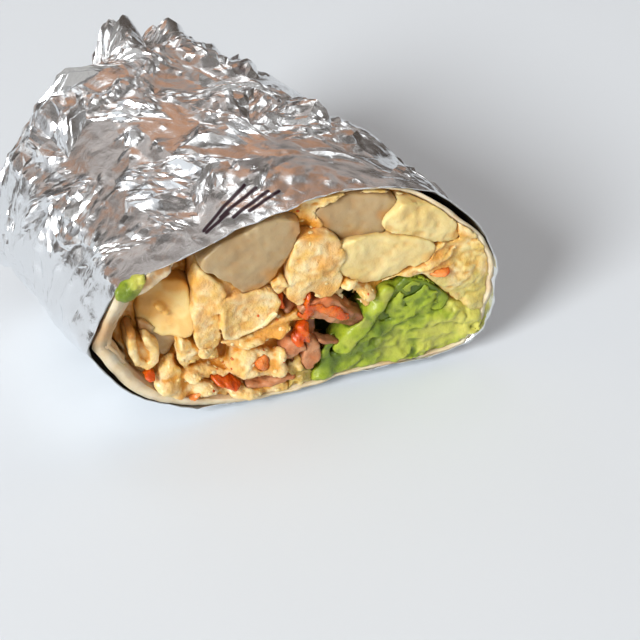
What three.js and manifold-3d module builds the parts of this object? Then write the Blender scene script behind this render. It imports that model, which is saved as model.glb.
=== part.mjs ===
// Half of a foil-wrapped burrito, cut on the slant and lying on its flat underside.
//
// Frame, in millimetres: +Y runs along the roll from the cut to the closed end, +X across it, +Z up.
// Every layer is the same roll surface at its own inset: foil, tortilla, then the room for the filling.
// Places on the cut face are given as (u, v): u to the right along the slanted cut, v up from the table.
import * as THREE from "three";
import { mergeVertices } from "three/addons/utils/BufferGeometryUtils.js";
import Module from "manifold-3d";

const wasm = await Module();
wasm.setup();

const { PI, abs, cos, floor, max, sin, tan } = Math;
const { lerp: mix, smoothstep, degToRad: radians } = THREE.MathUtils;
const TURN = 2 * PI;

// ---- Driving dimensions ----

const WIDTH = 80; // of the wrapped roll, across
const THICKNESS = 55; // of the wrapped roll, before its underside is pressed flat
const PRESSED = 2; // taken off the underside by its own weight
const LENGTH = 70; // from the middle of the cut to the closed end
const SLANT = radians(25); // of the knife, away from a square cut
const END_WIDTH = 0.83; // of the closed end, as a share of WIDTH
const END_THICKNESS = 1.1; // of the closed end, where the foil is bunched up
const END_ROUNDING = 0.2; // share of the length that curves in to the closed end
const ROUNDNESS = 3.2; // exponent of that curve

const FOIL = 0.5; // two turns of crumpled foil
const FOIL_TO_TORTILLA = 1.1; // leaves room for the dents
const TORTILLA = 1.7;
const LAP_FROM = radians(176); // where the tortilla's outer edge lies
const SEGMENTS = 36; // of the tortilla, round one turn
const LAP_SEGMENTS = 6; // by which its inner edge runs on under the outer one
const LAP = (LAP_SEGMENTS / SEGMENTS) * TURN;
const LAP_BLEND = radians(50); // stretch over which the sheet steps inwards
const GAP = 0.35; // between touching pieces

const TORTILLA_INSET = FOIL + FOIL_TO_TORTILLA;
const ROOM_INSET = TORTILLA_INSET + TORTILLA + GAP;
const LAP_STEP = TORTILLA + GAP;

// ---- Small helpers ----

/** A repeatable number from 0 to 1 for three whole numbers. */
function hash(a, b, c) {
  const wave = sin(a * 127.1 + b * 311.7 + c * 74.7) * 43758.5453;
  return wave - floor(wave);
}

/** An angle brought into the half turn either side of 0. */
function wrapAngle(angle) {
  return angle - TURN * Math.round(angle / TURN);
}

/** A smooth hump of height 1 round a value, and 0 beyond its half width. */
function swell(value, centre, halfWidth) {
  const off = abs(value - centre) / halfWidth;
  return off < 1 ? 0.5 + 0.5 * cos(PI * off) : 0;
}

/** The same hump round an angle in radians, its centre and half width given in degrees. */
function hump(angle, centre, halfWidth) {
  return swell(wrapAngle(angle - radians(centre)), 0, radians(halfWidth));
}

// ---- The roll surface that every layer follows ----

/** The superellipse exponent of the section: boxy at the lower right, slack at the far end's upper left. */
function squareness(angle, reach) {
  return 2.2 + 0.9 * hump(angle, -40, 50) - mix(0.15, 0.4, reach) * hump(angle, 138, 50);
}

/** How far along (reach) and how wide (spread) the roll is, at a parameter from 0, the cut, to 1, the end. */
function profile(along) {
  const straight = 1 - END_ROUNDING;
  if (along <= straight) return { reach: along, spread: 1, tip: 0 };
  const tip = ((along - straight) / END_ROUNDING) * (PI / 2);
  const reach = straight + END_ROUNDING * sin(tip) ** (2 / ROUNDNESS);
  const spread = max(0, cos(tip)) ** (2 / ROUNDNESS);
  return { reach, spread, tip };
}

/** The cut's place along the roll at x. */
function cutAt(x) {
  return -x * tan(SLANT);
}

/**
 * A point of the roll surface, at an angle round it and a parameter along it.
 * inset moves it inwards, push outwards along the surface's own direction, and start behind the cut.
 */
function rollPoint(angle, along, { inset = 0, push = 0, start = 0 } = {}) {
  const { reach, spread, tip } = profile(along);
  const halfWidth = (WIDTH / 2) * mix(1, END_WIDTH, reach) - inset;
  const halfHeight = (THICKNESS / 2) * mix(1, END_THICKNESS, reach) - inset;
  const n = squareness(angle, reach);
  const across = (abs(cos(angle)) / halfWidth) ** n;
  const upward = (abs(sin(angle)) / halfHeight) ** n;
  const radius = (across + upward) ** (-1 / n) * spread + push * cos(tip);
  const x = radius * cos(angle);
  const middle = (THICKNESS / 2) * mix(1, END_THICKNESS, reach) - PRESSED;
  const z = max(inset, middle + radius * sin(angle));
  const y = mix(cutAt(x) + start, LENGTH - inset + push * sin(tip), reach);
  return new THREE.Vector3(x, y, z);
}

// ---- Meshes and solids ----

/** The mean of some points. */
function middleOf(points) {
  return points.reduce((sum, p) => sum.add(p), new THREE.Vector3()).divideScalar(points.length);
}

/** A closed geometry lofted through rings of equal length, closed by a point at each end. */
function loft(first, rings, last) {
  const columns = rings[0].length;
  const points = [first, ...rings.flat(), last];
  const index = [];
  const at = (row, column) => 1 + row * columns + (column % columns);
  for (let c = 0; c < columns; c++) {
    index.push(0, at(0, c), at(0, c + 1));
    index.push(points.length - 1, at(rings.length - 1, c + 1), at(rings.length - 1, c));
  }
  for (let r = 0; r + 1 < rings.length; r++) {
    for (let c = 0; c < columns; c++) {
      const [a, b, d, e] = [at(r, c), at(r, c + 1), at(r + 1, c), at(r + 1, c + 1)];
      if (hash(r, c, 9) < 0.5) index.push(a, e, b, a, d, e);
      else index.push(a, d, b, b, d, e);
    }
  }
  return new THREE.BufferGeometry().setFromPoints(points).setIndex(index);
}

/** A geometry as a solid that can be joined and cut. */
function toSolid(geometry) {
  const bare = new THREE.BufferGeometry().setAttribute("position", geometry.getAttribute("position"));
  if (geometry.index) bare.setIndex(geometry.index);
  const merged = mergeVertices(bare, 1e-4);
  const corners = merged.index.array;
  const triangles = [];
  for (let i = 0; i < corners.length; i += 3) {
    const [a, b, c] = [corners[i], corners[i + 1], corners[i + 2]];
    if (a !== b && b !== c && c !== a) triangles.push(a, b, c);
  }
  const solid = new wasm.Manifold(
    new wasm.Mesh({
      numProp: 3,
      vertProperties: merged.getAttribute("position").array,
      triVerts: new Uint32Array(triangles),
    }),
  );
  if (solid.volume() < 0) throw new Error("a solid is inside out");
  return solid;
}

/** The largest connected body of a solid, as a geometry. */
function toGeometry(solid) {
  const bodies = solid.decompose().sort((a, b) => b.volume() - a.volume());
  const mesh = bodies[0].getMesh();
  const positions = new Float32Array(mesh.numVert * 3);
  for (let i = 0; i < mesh.numVert; i++) {
    positions.set(mesh.vertProperties.subarray(i * mesh.numProp, i * mesh.numProp + 3), i * 3);
  }
  return new THREE.BufferGeometry()
    .setAttribute("position", new THREE.BufferAttribute(positions, 3))
    .setIndex(new THREE.BufferAttribute(mesh.triVerts, 1));
}

/** A geometry drawn in the cut's own axes (u, depth behind the cut, v), turned to the roll's, as a solid. */
function ontoCut(geometry) {
  return toSolid(geometry.rotateZ(-SLANT));
}

// ---- Foil: a thin crumpled cup, open at the cut ----

const FOIL_ROWS = 21;
const FOIL_COLUMNS = 41;
const CREASE = 1.6; // height of the crumples on the closed half
const CREASE_AT_CUT = 0.25; // of the smooth band next to the cut
const DENT = 0.2; // deepest dent below the roll surface

/** Low swells of the wrap: a bulge over the right shoulder, a hollow on the top, a fold down the left. */
function foilSwell(angle, along) {
  const shoulder = 2.6 * hump(angle, 42, 40) * swell(along, 0.42, 0.34);
  const hollow = -0.9 * hump(angle, 100, 26) * swell(along, 0.5, 0.2);
  const fold = 1.1 * hump(angle, 149, 13) * smoothstep(along, 0, 0.15);
  const ripple = 0.5 * sin(3 * angle + 9 * along) + 0.4 * sin(5 * angle - 14 * along + 2);
  return shoulder + hollow + fold + ripple * smoothstep(along, 0.05, 0.4);
}

/** How far the foil stands off the tortilla at the cut: a pointed lip at the left, a pocket at the right. */
function foilStandOff(angle, along) {
  const near = 1 - smoothstep(along, 0, 0.3);
  const lip = 1.6 * hump(angle, 184, 20) + 0.5 * hump(angle, 212, 30);
  const pocket = 1.0 * hump(angle, 36, 24);
  return near * (lip + pocket);
}

/** The two pinched corners of the folded end. */
function foilEars(angle, along) {
  return swell(along, 0.89, 0.13) * (6.5 * hump(angle, 81, 12) + 5 * hump(angle, 57, 17));
}

/** One corner of the crumpled foil. Every second row is half a step round, and all but the rim are loose. */
function foilCorner(row, column, inset) {
  const loose = row === 0 ? 0 : 0.6;
  const stagger = row % 2 === 0 ? 0 : 0.5;
  const around = column + stagger + loose * (hash(row, column, 1) - 0.5);
  const angle = (around / FOIL_COLUMNS) * TURN;
  const along = (row + loose * (hash(row, column, 2) - 0.5)) / FOIL_ROWS;
  const height = mix(CREASE_AT_CUT, CREASE, smoothstep(along, 0.08, 0.5));
  const crumple = height * (hash(row, column, 3) - 0.3) * (1 - 0.6 * swell(along, 1, 0.1));
  const push = crumple + foilSwell(angle, along) + foilStandOff(angle, along) + foilEars(angle, along);
  return rollPoint(angle, along, { inset, push: max(-DENT, push) });
}

function makeFoil() {
  const wall = (inset) =>
    Array.from({ length: FOIL_ROWS }, (_, row) =>
      Array.from({ length: FOIL_COLUMNS }, (_, column) => foilCorner(row, column, inset)),
    );
  const tip = (inset) => rollPoint(PI / 2, 1, { inset });
  return toSolid(loft(tip(FOIL), [...wall(FOIL).reverse(), ...wall(0)], tip(0)));
}

// ---- Tortilla: one sheet rolled round the filling, its inner edge lapped under its outer edge ----

const TORTILLA_ROWS = 8;
const TORTILLA_END = 0.985; // parameter at which its gathered end stops
const ROOF_RECESS = 3.2; // of its edge behind the foil's along the top

/** How far the tortilla's cut edge lies behind the foil's. */
function tortillaStart(angle) {
  const fromTop = abs(wrapAngle(angle - radians(97)));
  return 0.3 + ROOF_RECESS * (1 - smoothstep(fromTop, radians(38), radians(62)));
}

/** The sheet's inset at an angle from its outer edge, which grows as the sheet turns in under itself. */
function tortillaInset(turned) {
  return TORTILLA_INSET + LAP_STEP * smoothstep(turned, TURN - LAP_BLEND, TURN);
}

/** The parameters along the roll of the tortilla's rows, closer together over the closed end. */
function tortillaRows() {
  return Array.from({ length: TORTILLA_ROWS }, (_, row) => {
    const share = row / (TORTILLA_ROWS - 1);
    return TORTILLA_END * mix(share, share ** 0.5, 0.7);
  });
}

/** The sheet's section as a closed ring: out along its outer face and back along its inner one. */
function tortillaRing(along) {
  const side = (depth) =>
    Array.from({ length: SEGMENTS + LAP_SEGMENTS + 1 }, (_, i) => {
      const turned = (i / SEGMENTS) * TURN;
      const angle = LAP_FROM + turned;
      const inset = tortillaInset(turned) + depth;
      return rollPoint(angle, along, { inset, start: tortillaStart(angle) });
    });
  return [...side(0), ...side(TORTILLA).reverse()];
}

/** A band lofted through closed rings, each of which is one face and the other face back. */
function bandSolid(rings) {
  const columns = rings[0].length;
  const points = rings.flat();
  const index = [];
  const at = (row, column) => row * columns + (column % columns);
  for (let r = 0; r + 1 < rings.length; r++) {
    for (let c = 0; c < columns; c++) {
      const [a, b, d, e] = [at(r, c), at(r, c + 1), at(r + 1, c), at(r + 1, c + 1)];
      index.push(a, e, b, a, d, e);
    }
  }
  const last = rings.length - 1;
  for (let c = 0; c + 1 < columns / 2; c++) {
    const mate = columns - 1 - c;
    index.push(at(0, c), at(0, c + 1), at(0, mate), at(0, c + 1), at(0, mate - 1), at(0, mate));
    index.push(at(last, c), at(last, mate), at(last, c + 1));
    index.push(at(last, c + 1), at(last, mate), at(last, mate - 1));
  }
  return toSolid(new THREE.BufferGeometry().setFromPoints(points).setIndex(index));
}

function makeTortilla() {
  return bandSolid(tortillaRows().map(tortillaRing));
}

// ---- The room inside the tortilla, which every filling is trimmed to ----

const PROUD = 2.5; // how far a piece may stand out of the cut

/** The room's inset at an angle measured from the tortilla's outer edge, deeper where the sheet is double. */
function roomInset(turned) {
  const before = smoothstep(turned, TURN - LAP_BLEND - 0.2, TURN - 0.15);
  const after = 1 - smoothstep(turned, LAP + 0.1, LAP + 0.45);
  return ROOM_INSET + LAP_STEP * max(before, after);
}

/** The room's rings, at the same rows and angles as the tortilla's, so that their facets lie side by side. */
function roomRings() {
  return tortillaRows().map((along) =>
    Array.from({ length: SEGMENTS }, (_, i) => {
      const turned = (i / SEGMENTS) * TURN;
      const angle = LAP_FROM + turned;
      return rollPoint(angle, along, { inset: roomInset(turned), start: tortillaStart(angle) });
    }),
  );
}

/** The room, with a straight step out of the cut in which pieces may stand proud. */
function makeRoom() {
  const rings = roomRings();
  const proud = rings[0].map((p) => new THREE.Vector3(p.x, cutAt(p.x) - PROUD / cos(SLANT), p.z));
  return toSolid(loft(middleOf(proud), [proud, ...rings], middleOf(rings.at(-1))));
}

// ---- Shapes that the fillings are made of: each gives a solid for the clearance that it grows by ----

/** An outline with its corners rounded off, each over a share of its sides. */
function roundedOutline(corners, softness = 0.28) {
  const shape = new THREE.Shape();
  corners.forEach(([u, v], i) => {
    const [beforeU, beforeV] = corners[(i + corners.length - 1) % corners.length];
    const [afterU, afterV] = corners[(i + 1) % corners.length];
    const enter = [mix(u, beforeU, softness), mix(v, beforeV, softness)];
    if (i === 0) shape.moveTo(...enter);
    else shape.lineTo(...enter);
    shape.quadraticCurveTo(u, v, mix(u, afterU, softness), mix(v, afterV, softness));
  });
  shape.closePath();
  return shape;
}

/** An outline on the cut, extruded back into the roll from a face some way behind the cut. */
function extrudeBack(outline, face, options) {
  const geometry = new THREE.ExtrudeGeometry(outline, options).rotateX(PI / 2);
  geometry.computeBoundingBox();
  return ontoCut(geometry.translate(0, face - geometry.boundingBox.min.y, 0));
}

const CHUNK_DEPTH = 21; // how far a chunk runs back into the roll
const CHUNK_BEVEL = 1.1;

/** A chunk with a flat face on the cut and the given corners, a little wider behind it. */
function chunk(face, corners) {
  return (grow) =>
    extrudeBack(roundedOutline(corners), face - grow, {
      depth: CHUNK_DEPTH - 2 * CHUNK_BEVEL,
      bevelEnabled: true,
      bevelSize: CHUNK_BEVEL,
      bevelThickness: CHUNK_BEVEL + grow,
      bevelOffset: grow,
      bevelSegments: 1,
      curveSegments: 2,
    });
}

const KNOBS = 0.12; // unevenness of a lump, as a share of its size

/** A lump: an uneven ellipsoid round (u, v), turned in degrees on the cut, its middle a depth behind it. */
function lump({ u, v, across, tall, deep, behind = deep / 3, turn = 0, detail = 1 }) {
  return (grow) => {
    const geometry = new THREE.IcosahedronGeometry(1, detail);
    const position = geometry.getAttribute("position");
    const seed = u * 1.7 + v * 2.3;
    const p = new THREE.Vector3();
    for (let i = 0; i < position.count; i++) {
      p.fromBufferAttribute(position, i);
      const knob = sin(3.1 * p.x + seed) * sin(2.7 * p.y - seed) + sin(3.7 * p.z + 2 * seed) * 0.6;
      p.multiplyScalar(1 + KNOBS * knob);
      position.setXYZ(i, p.x * (across / 2 + grow), p.y * (deep / 2 + grow), p.z * (tall / 2 + grow));
    }
    return ontoCut(geometry.rotateY(-radians(turn)).translate(u, behind, v));
  };
}

const SLICE_STEPS = 7;

/** A curved slice: a band along a path on the cut, a little thinner at its ends, running into the roll. */
function slice({ path, thick, depth, face }) {
  const curve = new THREE.CatmullRomCurve3(path.map(([u, v]) => new THREE.Vector3(u, v, 0)));
  return (grow) => {
    const near = [];
    const far = [];
    for (let i = 0; i <= SLICE_STEPS; i++) {
      const share = i / SLICE_STEPS;
      const along = curve.getTangent(share);
      const side = new THREE.Vector3(-along.y, along.x, 0);
      const half = (thick / 2) * (0.75 + 0.25 * sin(PI * share)) + grow;
      const over = i === 0 ? -grow : i === SLICE_STEPS ? grow : 0;
      const point = curve.getPoint(share).addScaledVector(along, over);
      near.push(point.clone().addScaledVector(side, half));
      far.unshift(point.clone().addScaledVector(side, -half));
    }
    const outline = new THREE.Shape([...near, ...far].map((p) => new THREE.Vector2(p.x, p.y)));
    return extrudeBack(outline, face - grow, { depth: depth + 2 * grow, bevelEnabled: false });
  };
}

/** Several shapes fused. */
function fused(shapes, grow = 0) {
  return shapes.map((shape) => shape(grow)).reduce((all, one) => all.add(one));
}

// ---- Finishes ----

const foil = { color: 0xd6d8da, roughness: 0.25, metalness: 1 };
const bread = { color: 0xe9dcbd, roughness: 0.8 };
const egg = { color: 0xf0d27c, roughness: 0.5 };
const potato = { color: 0xd9c79c, roughness: 0.45 };
const goldenPotato = { color: 0xe9d894, roughness: 0.5 };
const mash = { color: 0xa9bf3d, roughness: 0.4 };
const ham = { color: 0xc98a6c, roughness: 0.45 };
const salsa = { color: 0xd9542a, roughness: 0.35 };

// ---- Filling, from the pieces that keep their shape to the ones that give way ----

const fillings = [
  {
    name: "potato_middle",
    finish: potato,
    shapes: [chunk(1.5, [[-24, 44], [-16, 50], [-1.5, 50], [-2, 43], [-8, 32.5], [-14, 32]])],
  },
  {
    name: "potato_top",
    finish: potato,
    shapes: [chunk(4, [[2, 50], [18.5, 49], [18, 39.5], [9, 39.5]])],
  },
  {
    name: "potato_upper_right",
    finish: goldenPotato,
    shapes: [chunk(1.5, [[15.5, 46], [19, 49], [29, 46], [32.5, 36], [19, 40]])],
  },
  {
    name: "potato_right",
    finish: goldenPotato,
    shapes: [chunk(0.5, [[6, 37], [10, 41], [18.5, 39.6], [27.5, 36], [24, 31], [13, 28], [7, 30.5]])],
  },
  {
    name: "potato_left",
    finish: potato,
    shapes: [chunk(5.5, [[-36.5, 33], [-31, 38], [-24, 38], [-23.5, 30], [-26, 25], [-35.5, 26.5]])],
  },
  {
    name: "potato_lower_left",
    finish: potato,
    shapes: [chunk(4.5, [[-35, 25.8], [-26.5, 24.3], [-28.5, 17.5], [-32.5, 17]])],
  },
  {
    name: "ham_rolled",
    finish: ham,
    shapes: [slice({ path: [[1.5, 23.2], [6, 23], [9.5, 20], [12, 15.5]], thick: 2.2, depth: 14, face: 1 })],
  },
  {
    name: "ham_middle",
    finish: ham,
    shapes: [
      lump({ u: -3.3, v: 15.4, across: 7, tall: 6, deep: 11, turn: 30 }),
      lump({ u: -5.5, v: 18, across: 4, tall: 3.2, deep: 9, turn: 20 }),
    ],
  },
  {
    name: "ham_low",
    finish: ham,
    shapes: [lump({ u: 0.8, v: 11.5, across: 4, tall: 9, deep: 11, turn: 8 })],
  },
  {
    name: "ham_bottom",
    finish: ham,
    shapes: [slice({ path: [[-13, 7], [-8, 6.6], [-3, 7.4]], thick: 1.8, depth: 10, face: 0.8 })],
  },
  {
    name: "tomato_middle",
    finish: salsa,
    shapes: [
      lump({ u: 2.4, v: 26.4, across: 9.5, tall: 4.4, deep: 9, turn: -8 }),
      lump({ u: -0.8, v: 25.4, across: 4, tall: 5, deep: 8 }),
    ],
  },
  {
    name: "tomato_centre",
    finish: salsa,
    shapes: [lump({ u: -0.8, v: 19.8, across: 4, tall: 4.4, deep: 7, behind: 1.6 })],
  },
  {
    name: "tomato_egg",
    finish: salsa,
    shapes: [lump({ u: -9.6, v: 12.6, across: 4.2, tall: 4, deep: 5, behind: 0.6, turn: 30 })],
  },
  {
    name: "tomato_low",
    finish: salsa,
    shapes: [lump({ u: -19.5, v: 9.8, across: 8.5, tall: 2.8, deep: 7, behind: 1.4, turn: -12 })],
  },
  {
    name: "tomato_bottom",
    finish: salsa,
    shapes: [lump({ u: -27, v: 8.4, across: 5, tall: 3.6, deep: 6, behind: 1 })],
  },
  {
    name: "tomato_left",
    finish: salsa,
    shapes: [lump({ u: -37.2, v: 18.6, across: 3.6, tall: 2.8, deep: 5, behind: 1.4 })],
  },
  {
    name: "tomato_right",
    finish: salsa,
    shapes: [lump({ u: 27.6, v: 28.8, across: 6, tall: 3, deep: 6, behind: 1.2, turn: 14 })],
  },
  {
    name: "avocado",
    finish: mash,
    shapes: [
      lump({ u: 21, v: 19.5, across: 21, tall: 13, deep: 58, behind: 27, turn: 32 }),
      lump({ u: 31, v: 11.5, across: 22, tall: 15, deep: 62, behind: 30, turn: 8 }),
      lump({ u: 17, v: 9.5, across: 25, tall: 10, deep: 56, behind: 27, turn: 10 }),
      lump({ u: 3, v: 5.5, across: 14, tall: 7, deep: 46, behind: 22 }),
      lump({ u: 13.5, v: 15.5, across: 7, tall: 6, deep: 8, behind: 2 }),
      lump({ u: 36.5, v: 16, across: 6, tall: 6, deep: 7, behind: 1.5 }),
    ],
  },
];

// ---- Egg: a core that fills what is left of the room, and the curds that stand in front of it ----

const CORE_RECESS = 5; // of the core behind the cut
const CORE_UNEVEN = 2.4; // depth of the core's lumps
const LEFT_RECESS = 4; // by which the core lies deeper still at the left

// The curds that show one by one, and at the far left a fold like a leaf bent double.
const curds = [
  lump({ u: -20.6, v: 36.5, across: 7.5, tall: 12, deep: 15, behind: 6, turn: 4 }),
  lump({ u: -20.4, v: 26, across: 8, tall: 11.5, deep: 14, behind: 5.5 }),
  lump({ u: -12.6, v: 26.5, across: 11.5, tall: 12, deep: 14, behind: 5, turn: 25 }),
  lump({ u: -9.5, v: 20.5, across: 13, tall: 7.5, deep: 11, behind: 4, turn: 24 }),
  lump({ u: -12.4, v: 12.4, across: 12, tall: 9, deep: 12, behind: 4 }),
  lump({ u: -21.5, v: 17.2, across: 8.5, tall: 8.5, deep: 11, behind: 4 }),
  lump({ u: -28.2, v: 13.2, across: 7.5, tall: 9.5, deep: 10, behind: 3.6, turn: -30 }),
  lump({ u: 0.3, v: 38, across: 12, tall: 14, deep: 15, behind: 6 }),
  lump({ u: -0.6, v: 31.6, across: 11, tall: 6, deep: 10, behind: 3.4 }),
  lump({ u: 12.6, v: 25.6, across: 5, tall: 5, deep: 8, behind: 3 }),
  lump({ u: 35, v: 27.6, across: 14, tall: 19, deep: 20, behind: 8, turn: -6 }),
  lump({ u: -22, v: 6.6, across: 15, tall: 5, deep: 10, behind: 3.4, turn: -4 }),
  lump({ u: -4.5, v: 9.6, across: 5, tall: 5, deep: 8, behind: 3 }),
  slice({
    path: [[-40, 28.5], [-40.6, 22.5], [-37.4, 18.4], [-34.4, 21.5], [-34.6, 26.5]],
    thick: 2.6,
    depth: 16,
    face: 1.2,
  }),
];

// Hollows that reach into the egg between the pieces.
const hollows = [
  lump({ u: -5, v: 26.4, across: 3.4, tall: 6.5, deep: 16, behind: 5 }),
  lump({ u: 8.8, v: 25.2, across: 3.4, tall: 5.2, deep: 16, behind: 5 }),
  lump({ u: 5.2, v: 16.8, across: 6.5, tall: 4.4, deep: 18, behind: 5, turn: -28 }),
  lump({ u: -27, v: 41.5, across: 13, tall: 6, deep: 26, behind: 4, turn: 26 }),
  lump({ u: -38.6, v: 28, across: 3, tall: 7, deep: 14, behind: 3 }),
];

/** The core, larger than the room all round, with an uneven front. */
function makeCore() {
  const edge = roomRings()[0].map((p) => new THREE.Vector3(p.x, cutAt(p.x) + CORE_RECESS / cos(SLANT), p.z));
  const middle = middleOf(edge);
  const beyond = (p) => p.clone().sub(middle).multiply(new THREE.Vector3(1.2, 1.2, 1.2)).add(middle);
  const wide = edge.map(beyond);
  const front = [0.3, 0.6, 0.85].map((share, row) =>
    wide.map((p, i) => {
      const point = new THREE.Vector3().lerpVectors(middle, p, share);
      const left = smoothstep(-point.x, 16, 26);
      point.y += CORE_UNEVEN * (hash(row, i, 7) - 0.5) + LEFT_RECESS * left;
      return point;
    }),
  );
  const back = wide.map((p) => new THREE.Vector3(p.x, LENGTH, p.z));
  return toSolid(loft(middle, [...front, wide, back], middleOf(back)));
}

/** The egg: core and curds, trimmed to the room and clear of every other piece. */
function makeEgg(room, taken) {
  return makeCore().add(fused(curds)).intersect(room).subtract(taken).subtract(fused(hollows));
}

// ---- The dab of avocado that the knife left on the edge of the wrap ----

function makeDab() {
  const dab = fused([
    lump({ u: -37.6, v: 41.6, across: 6.4, tall: 5, deep: 5.6, behind: 0, turn: 34, detail: 2 }),
    lump({ u: -34.6, v: 43.4, across: 3.6, tall: 3, deep: 3.6, behind: 0, turn: 34 }),
  ]);
  const behindEdge = ontoCut(new THREE.BoxGeometry(40, 20, 40).translate(-36, 10 - GAP, 42));
  return dab.subtract(behindEdge);
}

// ---- Assembly ----

const burrito = new THREE.Group();

function addPiece(name, finish, solid) {
  const material = new THREE.MeshStandardMaterial({ ...finish, flatShading: true });
  const mesh = new THREE.Mesh(toGeometry(solid), material);
  mesh.name = name;
  burrito.add(mesh);
}

addPiece("foil_wrap", foil, makeFoil());
addPiece("tortilla", bread, makeTortilla());

const room = makeRoom();
let taken = null;
for (const { name, finish, shapes } of fillings) {
  const whole = fused(shapes).intersect(room);
  addPiece(name, finish, taken ? whole.subtract(taken) : whole);
  const cleared = fused(shapes, GAP);
  taken = taken ? taken.add(cleared) : cleared;
}
addPiece("egg", egg, makeEgg(room, taken));
addPiece("avocado_dab", mash, makeDab());

// The origin is the middle of the floor that the roll covers.
const bounds = new THREE.Box3().setFromObject(burrito);
const centre = bounds.getCenter(new THREE.Vector3());
burrito.position.set(-centre.x, -centre.y, -bounds.min.z);

export default burrito;
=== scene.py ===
"""Half of a foil-wrapped breakfast burrito, cut on the slant and lying on a pale floor.

Sizes are in millimetres until a mesh is made. Two sets of axes are used:

- the part's own: x across the roll, y along it from the cut to the closed end, z up from the floor;
- the cut's: u to the right along the slanted cut, d back into the roll, v up from the floor.
"""

import itertools
import logging
import math
from abc import ABC, abstractmethod
from dataclasses import dataclass, field
from enum import Enum
from typing import Callable

import bpy
import numpy as np
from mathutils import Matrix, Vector

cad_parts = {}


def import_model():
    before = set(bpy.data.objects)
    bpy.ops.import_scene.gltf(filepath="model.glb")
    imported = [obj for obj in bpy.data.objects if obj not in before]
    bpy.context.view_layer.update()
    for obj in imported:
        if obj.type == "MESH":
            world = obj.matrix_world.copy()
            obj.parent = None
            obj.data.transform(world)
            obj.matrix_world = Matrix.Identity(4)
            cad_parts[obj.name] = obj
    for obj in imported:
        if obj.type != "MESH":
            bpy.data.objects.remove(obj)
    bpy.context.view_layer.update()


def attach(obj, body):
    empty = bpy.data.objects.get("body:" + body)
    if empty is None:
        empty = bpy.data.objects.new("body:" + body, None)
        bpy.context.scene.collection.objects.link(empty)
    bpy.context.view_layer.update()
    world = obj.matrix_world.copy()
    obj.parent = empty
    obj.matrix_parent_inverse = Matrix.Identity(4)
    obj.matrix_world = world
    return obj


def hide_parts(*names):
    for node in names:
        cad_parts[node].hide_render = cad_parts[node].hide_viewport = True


Numbers = np.ndarray | float
Tree = bpy.types.NodeTree
Socket = bpy.types.NodeSocket

LOG = logging.getLogger("burrito")
MM = 0.001
TURN = 2 * math.pi
BODY = "root"
# A distance in millimetres that is as good as nowhere near.
FAR = 50.0

# Sockets of the Mix node when it mixes colours, which has several of each name.
MIX_FACTOR, MIX_A, MIX_B, MIX_RESULT = 0, 6, 7, 2


# ---- Small helpers ----


def linear(colour: str) -> tuple[float, float, float, float]:
    """Turn an sRGB hex colour into linear red, green, blue and alpha."""
    shares = [int(colour[i : i + 2], 16) / 255 for i in (1, 3, 5)]
    return (*[c / 12.92 if c <= 0.04045 else ((c + 0.055) / 1.055) ** 2.4 for c in shares], 1.0)


def mix(a: Numbers, b: Numbers, share: Numbers) -> Numbers:
    """Blend from a to b by a share from 0 to 1."""
    return a + (b - a) * share


def ease(value: Numbers, low: float, high: float) -> Numbers:
    """Rise smoothly from 0 at low to 1 at high."""
    share = np.clip((value - low) / (high - low), 0, 1)
    return share * share * (3 - 2 * share)


def swell(value: Numbers, centre: float, half_width: float) -> Numbers:
    """Rise smoothly to 1 at a centre, from 0 beyond the half width."""
    off = np.minimum(np.abs(value - centre) / half_width, 1)
    return 0.5 + 0.5 * np.cos(np.pi * off)


def angle_from(angle: Numbers, centre: float) -> Numbers:
    """How far an angle in radians is from a centre in degrees, the shorter way round."""
    return np.remainder(angle - math.radians(centre) + np.pi, TURN) - np.pi


def hump(angle: Numbers, centre: float, half_width: float) -> Numbers:
    """The same swell round an angle in radians, its centre and half width given in degrees."""
    return swell(angle_from(angle, centre), 0, math.radians(half_width))


def lit(colour: str, strength: float) -> tuple[float, float, float, float]:
    """The linear colour of a light, at a strength."""
    return (*[strength * c for c in linear(colour)[:3]], 1.0)


def set_inputs(tree: Tree, node: bpy.types.Node, inputs: dict) -> None:
    """Give a node's inputs, by name or number, their values or the output sockets that feed them."""
    for key, value in inputs.items():
        if isinstance(value, Socket):
            tree.links.new(value, node.inputs[key])
        else:
            node.inputs[key].default_value = value


def add_node(tree: Tree, kind: str, inputs: dict | None = None, **settings) -> bpy.types.Node:
    """Add a node with its settings, values and links.

    Args:
        tree: The node tree.
        kind: The node's type, such as "ShaderNodeTexNoise".
        inputs: For each input, by name or number, its value or the output socket that feeds it.
        settings: The node's own properties.

    Returns:
        The new node.
    """
    node = tree.nodes.new(kind)
    for key, value in settings.items():
        setattr(node, key, value)
    set_inputs(tree, node, inputs or {})
    return node


def noise_texture(tree: Tree, place: Socket, scale: float, detail: float, **inputs) -> Socket:
    """The value of a noise texture at a place, about 0.5 on the whole."""
    inputs = {"Vector": place, "Scale": scale, "Detail": detail, **inputs}
    return add_node(tree, "ShaderNodeTexNoise", inputs).outputs["Fac"]


def remapped(tree: Tree, value: Socket, start=(0.0, 1.0), to=(0.0, 1.0)) -> Socket:
    """A value moved from one range to another, and kept within it."""
    ranges = {"From Min": start[0], "From Max": start[1], "To Min": to[0], "To Max": to[1]}
    return add_node(tree, "ShaderNodeMapRange", {"Value": value, **ranges}).outputs["Result"]


def mixed(tree: Tree, share: Socket, a: Socket | tuple, b: Socket | tuple) -> Socket:
    """Two colours mixed, from a to b by a share."""
    inputs = {MIX_FACTOR: share, MIX_A: a, MIX_B: b}
    return add_node(tree, "ShaderNodeMix", inputs, data_type="RGBA").outputs[MIX_RESULT]


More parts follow.
